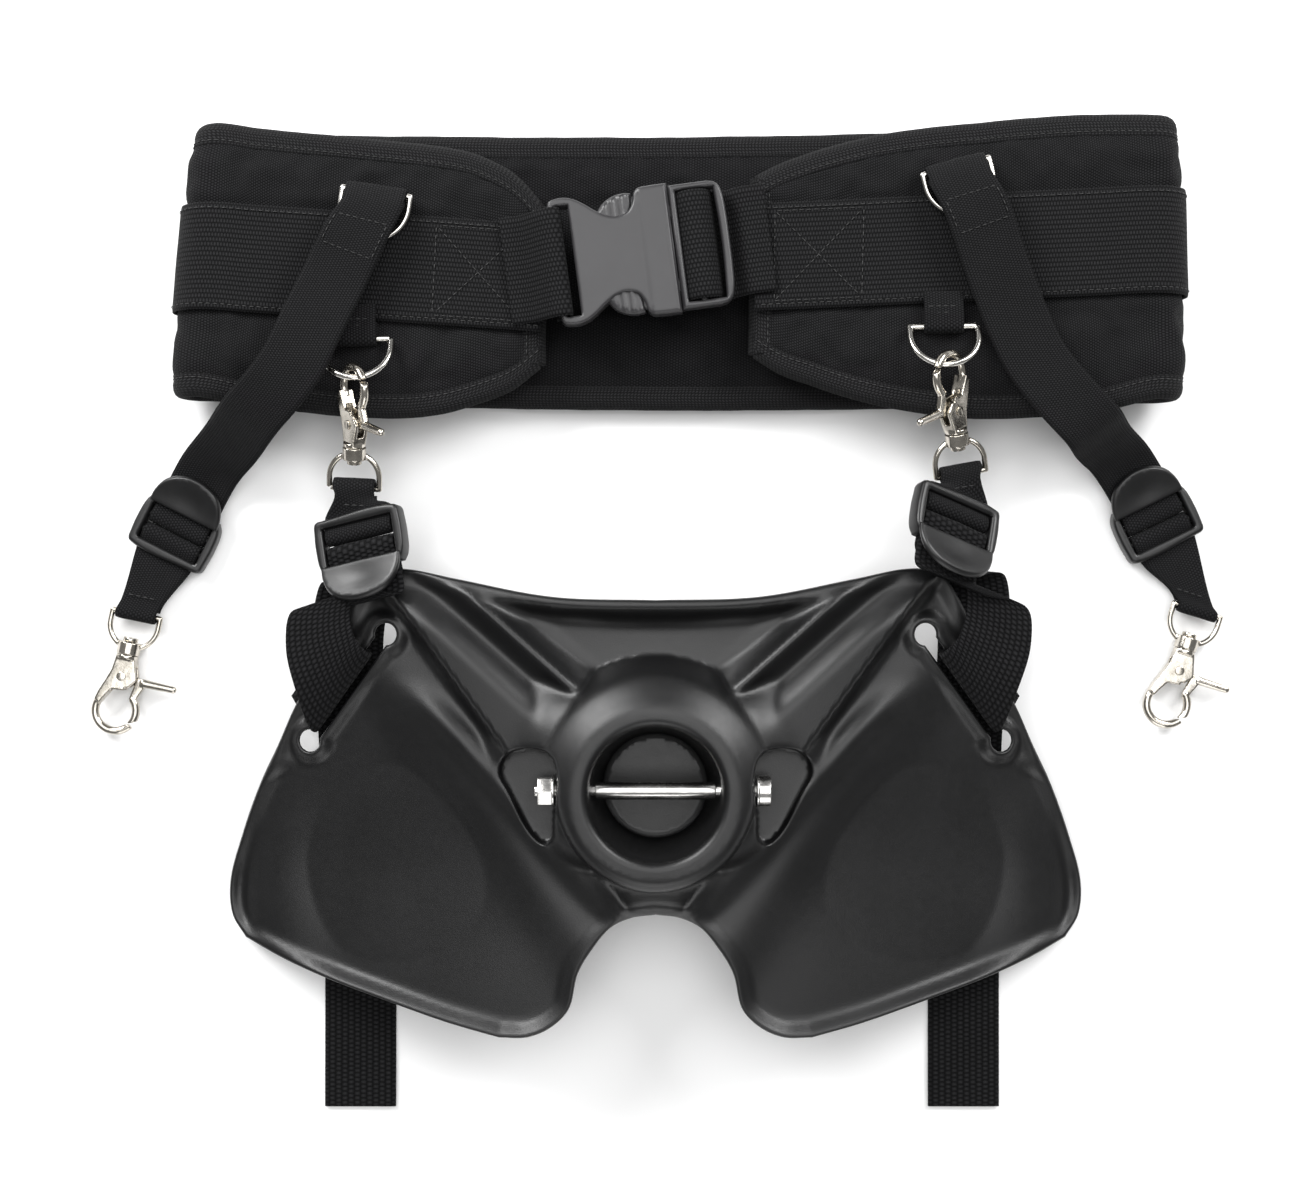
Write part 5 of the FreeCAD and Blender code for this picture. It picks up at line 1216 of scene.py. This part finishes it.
def plate_top(x, y, edge, slot, pocket_in, pocket_gap):
    """Height of the top face; edge, slot and pocket_gap are distances to those loops."""
    side, r = np.abs(x), np.hypot(x, y - CUP_Y)
    shell = plate_z(x) + SHELL / 2
    height = shell + relief(x, y) * smooth(r, 40, 66)
    lip = 1.5 * np.exp(-((edge - 4.2) / 2.6) ** 2) * smooth(side, -10, 60)
    height += lip * (1 - smooth(side, 180, 200)) + 1.3 * np.exp(-((slot - 3.4) / 2.2) ** 2)
    # the strip outside the slot lies low, so that the strap can cross it
    outer = line_side(side, y, SLOT_TOP, SLOT_LOW)
    turned = SLOT_LOW + (SLOT_LOW - SLOT_TOP)[::-1] * (-1, 1)
    along = line_side(side, y, SLOT_LOW, turned)
    strip = smooth(outer, -3.0, 1.0) * (1 - smooth(np.abs(along - 31.5), 34.0, 46.0))
    height = height * (1 - strip) + np.minimum(height, shell - 1.2) * strip
    # the saddle of plastic that carries the cup
    lean = smooth(-(y - CUP_Y), -30, 40)
    aside = side / np.maximum(r, 1.0)
    reach = 60 + 24 * smooth(aside, 0.45, 0.9) - 14 * lean
    saddle = 64.0 - (17.0 + 10.0 * lean) * smooth(r, 46 - 6 * lean, reach)
    saddle -= 50.0 * smooth(r, reach - 8.0, reach + 34.0)
    height = np.logaddexp(height / 1.6, saddle / 1.6) * 1.6
    height = np.minimum(height, 68.0)
    rs, zs = np.array(CUP_PROFILE).T
    cup = np.interp(r, rs, zs)
    # the outside of the cup, upright below and sloping above
    steep = smooth(-(y - CUP_Y), -12, 30)
    flank = CUP_TOP - 2.2 * rounded(47.0 - r, 9.0) * steep
    flank -= 7.0 * smooth(r, 36.0, 52.0) * (1 - steep)
    flank -= 16.0 * smooth(r, 43.5, 47.5) * steep + 6.0 * smooth(r, 46.0, 62.0) * (1 - steep)
    flank -= 45.0 * smooth(r, 50.0, 78.0)
    height = np.where(r < CUP_LIP, cup, np.maximum(height, flank))
    walled = pocket_in & (pocket_gap > 0.35) & (r > CUP_LIP)
    floor = POCKET_FLOOR + 0.8 * np.exp(-pocket_gap)
    near = (r > CUP_LIP) & (pocket_gap < 2.0)
    return np.where(walled, floor, height - np.where(near, rounded(pocket_gap, 2.0), 0))


def plate_middle(x, y, edge):
    """Middle of the shell near its border, where the relief has nearly died away."""
    middle = plate_z(x) + relief(x, y) * smooth(edge, -1, 12) * 0.35
    return np.maximum(middle, FLOOR_Z + SHELL / 2 + 0.2)


def circle(r, step=1.5):
    turn = np.linspace(0, math.tau, max(int(math.tau * r / step), 48), endpoint=False)
    return np.column_stack([r * np.cos(turn), CUP_Y + r * np.sin(turn)])


def build_plate():
    """The moulded plate: its top and under faces, meeting in a rounded border."""
    border = wound(plate_outline(), 1)
    slots = [wound(slot_outline(sign), -1) for sign in (-1, 1)]
    corners = np.vstack([POCKET, POCKET[:1]])
    pocket = wound(curve_through(corners, 1.0)[:-1], 1)
    pockets = [pocket, (pocket * (-1, 1))[::-1]]
    rings = [circle(r) for r in CUP_RINGS]
    rings += [offset(border, d) for d in (0.5, 1.2, 2.2, 3.4)]
    rings += [offset(loop, d) for loop in slots for d in (0.4, 1.0, 1.8, 2.8)]
    rings += [offset(loop, d) for loop in pockets for d in (-1.9, -1.1, -0.45, 0.0, 0.55)]
    top, top_faces = filled_region([border] + slots, rings, 1.7, 0.7)
    x, y = top.T
    to_border, to_slot = gap_to(top, border), nearest(top, slots)
    pocket_in = in_any(top, pockets)
    z_top = plate_top(x, y, to_border, to_slot, pocket_in, nearest(top, pockets))
    edge = np.minimum(to_border, to_slot)
    drop = rounded(edge, SHELL / 2)
    base = plate_middle(x, y, edge)
    away = np.hypot(x, y - CUP_Y) > 47
    z_top = np.where(pocket_in | ~away, z_top, np.maximum(z_top, base + SHELL / 2 - 5.0))
    blend = smooth(edge, 0, 7.0)
    z_top = (base + SHELL / 2) * (1 - blend) + z_top * blend - drop
    low, low_faces = filled_region([border] + slots,
                                   [circle(r) for r in (25.0, 28.0, 31.0, 34.5)]
                                   + [offset(border, d) for d in (0.5, 1.2, 2.2)], 3.2, 1.2)
    x, y = low.T
    r = np.hypot(x, y - CUP_Y)
    edge = nearest(low, [border] + slots)
    base = plate_middle(x, y, edge)
    carve = np.minimum(relief(x, y), 0) * smooth(r, 40, 66)
    under = np.maximum(plate_z(x) - SHELL / 2 + carve, FLOOR_Z)
    blend = smooth(edge, 0, 7.0)
    z_low = (base - SHELL / 2) * (1 - blend) + np.minimum(under, base) * blend
    bowl = np.interp(r, (0, 27.0, 29.0, 34.5), (24.0, 24.0, 26.0, 60.0))
    socket = POCKET_UNDER + 12 * smooth(nearest(low, pockets), 3, 14)
    socket = np.where(in_any(low, pockets), POCKET_UNDER, socket)
    z_low = np.minimum(np.minimum(z_low, bowl), socket) + rounded(edge, SHELL / 2)
    points = np.vstack([np.column_stack([top, z_top]), np.column_stack([low, z_low])])
    faces = [tuple(int(i) for i in f) for f in top_faces]
    count = len(top)
    faces += [tuple(int(i) + count for i in f[::-1]) for f in low_faces]
    piece = outward(make("gimbal_plate_moulded", points, faces, PLATE), join=2e-5)
    settle(piece, "plate_rig", "plate_plastic", "gimbal_plate")


# ------------------------------------------------------------------ locks and metalwork
def lock_place(origin, across, up, normal):
    """From a lock's own axes to the layout."""
    return lambda x, y, z: origin + across * x + up * y + normal * z


def build_lock(name, body, web_half, origin, across, up, normal):
    """Ladder lock: a rounded frame, its two bars and a thumb tab that stands up a little."""
    wide, inner = web_half + 5.0, web_half + 1.0
    frame_loop = closed([(-wide, 2.6), (-wide + 0.8, 0.8), (-wide + 2.6, 0.0),
                         (wide - 2.6, 0.0), (wide - 2.6, 0.0), (wide - 0.8, 0.8), (wide, 2.6),
                         (wide, 2.6), (wide + 0.5, 13.0), (wide - 0.6, 23.0), (wide - 2.8, 26.4),
                         (wide - 2.8, 26.4), (-wide + 2.8, 26.4), (-wide + 2.8, 26.4),
                         (-wide + 0.6, 23.0), (-wide - 0.5, 13.0), (-wide, 2.6)], 1.2)
    window = oblong(-inner, 4.0, inner, 22.6)
    spot = lock_place(origin + normal * 5.0, across, up, normal)
    piece = slab(name + "_frame", frame_loop, [window], 8.8, 1.7, spot, LOCK, 1.3)
    settle(piece, body, "buckle_plastic", name)
    tab = closed([(-wide + 1.5, 0.0), (-wide + 1.5, 0.0), (wide - 1.5, 0.0), (wide - 1.5, 0.0),
                  (wide - 2.2, 6.0), (wide - 5.0, 12.4), (wide - 10.5, 17.0), (0.0, 19.2),
                  (-wide + 10.5, 17.0), (-wide + 5.0, 12.4), (-wide + 2.2, 6.0),
                  (-wide + 1.5, 0.0)], 1.2)
    tilt = math.radians(12)
    tilted_up = up * math.cos(tilt) + normal * math.sin(tilt)
    tilted = normal * math.cos(tilt) - up * math.sin(tilt)
    spot = lock_place(origin + up * 22.6 + normal * 9.1, across, tilted_up, tilted)
    piece = slab(name + "_tab", tab, [], 2.9, 1.3, spot, LOCK, 1.3,
                 lambda x, y: 0.9 * smooth(y, 3.0, 17.0) - 0.8 * np.exp(-(x / 9.0) ** 2
                                                                     - ((y - 9.0) / 6.0) ** 2))
    settle(piece, body, "buckle_plastic")
    for reach in (LOCK_ONE, LOCK_TWO):
        bar = oblong(2 - wide, -1.5, wide - 2, 1.5)
        spot = lock_place(origin + up * reach + normal * LOCK_BAR_Z, across, up, normal)
        settle(slab(f"{name}_bar_{int(reach)}", bar, [], 3.0, 1.1, spot, LOCK, 1.4), body,
               "buckle_plastic")


def build_metal():
    """Rings, snaps, rivets, springs and the bolt with its fittings."""
    bodies = record["behaviour"]["bodies"]
    owner = {name: body for body, names in bodies.items() for name in names}
    for key in RINGS:
        name = key + "_ring"
        settle(cast(name, 0.36, RING, 4, 0.6), owner[name], "ring_steel", name)
    for group in ("side", "drop"):
        for side in ("left", "right"):
            for part in ("eye", "hook", "trigger"):
                name = f"{group}_{side}_{part}"
                settle(cast(name, 0.34, NICKEL, 5, 0.5), owner[name], "snap_nickel", name)
            name = f"{group}_{side}_rivet"
            settle(bevelled(name, 0.2, NICKEL), owner[name], "snap_nickel", name)
            spring = nodes[f"{group}_{side}_trigger_spring"]
            refinished(spring, STEEL)
    for name in ("gimbal_bolt", "lock_nut", "washer_left", "washer_right", "gimbal_sleeve"):
        settle(bevelled(name, 0.35, STEEL), owner[name], "stainless", name)


# ------------------------------------------------------------------ stage
def build_stage():
    """Pale paper floor, four soft lights and the camera straight above."""
    floor = bpy.data.meshes.new("floor")
    corners = [(-4, -4), (4, -4), (4, 4), (-4, 4)]
    floor.from_pydata([(x, y, PAPER_Z) for x, y in corners], [], [(0, 1, 2, 3)])
    piece = bpy.data.objects.new("floor", floor)
    scene.collection.objects.link(piece)
    m = Nodes("floor_paper")
    m.colour(m.noise(3.0), (0.86, 0.86, 0.86), (0.90, 0.90, 0.90))
    m.set(Roughness=0.95, Specular_IOR_Level=0.1)
    floor.materials.append(m.mat)
    world = bpy.data.worlds.new("studio")
    world.use_nodes = True
    world.node_tree.nodes["Background"].inputs[0].default_value = (1, 1, 1, 1)
    world.node_tree.nodes["Background"].inputs[1].default_value = 0.22
    scene.world = world
    for name, spot, size, power in (("key", (-0.8, 0.9, 0.75), 0.6, 22.0),
                                    ("fill", (0.9, 0.8, 0.8), 0.6, 16.0),
                                    ("low", (0.0, -1.3, 0.6), 0.9, 6.0),
                                    ("top", (0.0, 0.3, 1.7), 1.6, 22.0)):
        light = bpy.data.lights.new(name, "AREA")
        light.shape = "RECTANGLE"
        light.size, light.size_y = size, size
        light.energy = power
        lamp = bpy.data.objects.new(name, light)
        lamp.location = spot
        lamp.rotation_euler = (Vector((0, 0, 0.03)) - Vector(spot)).to_track_quat(
            "-Z", "Y").to_euler()
        scene.collection.objects.link(lamp)
    eye = bpy.data.cameras.new("camera")
    eye.sensor_width = 36.0
    eye.lens = eye.sensor_width * VIEW_HEIGHT / VIEW_WIDTH
    eye.clip_start = 0.05
    camera = bpy.data.objects.new("camera", eye)
    camera.location = place([0, 0, VIEW_HEIGHT])
    scene.collection.objects.link(camera)
    scene.camera = camera


scene.view_settings.view_transform = "Standard"
build_stage()
build_pad()
build_bindings()
build_waist_webbing()
build_buckle_webbing()
build_buckle()
build_tabs()
for which in ("left", "right"):
    build_side(which)
    build_drop(which)
build_plate()
build_metal()
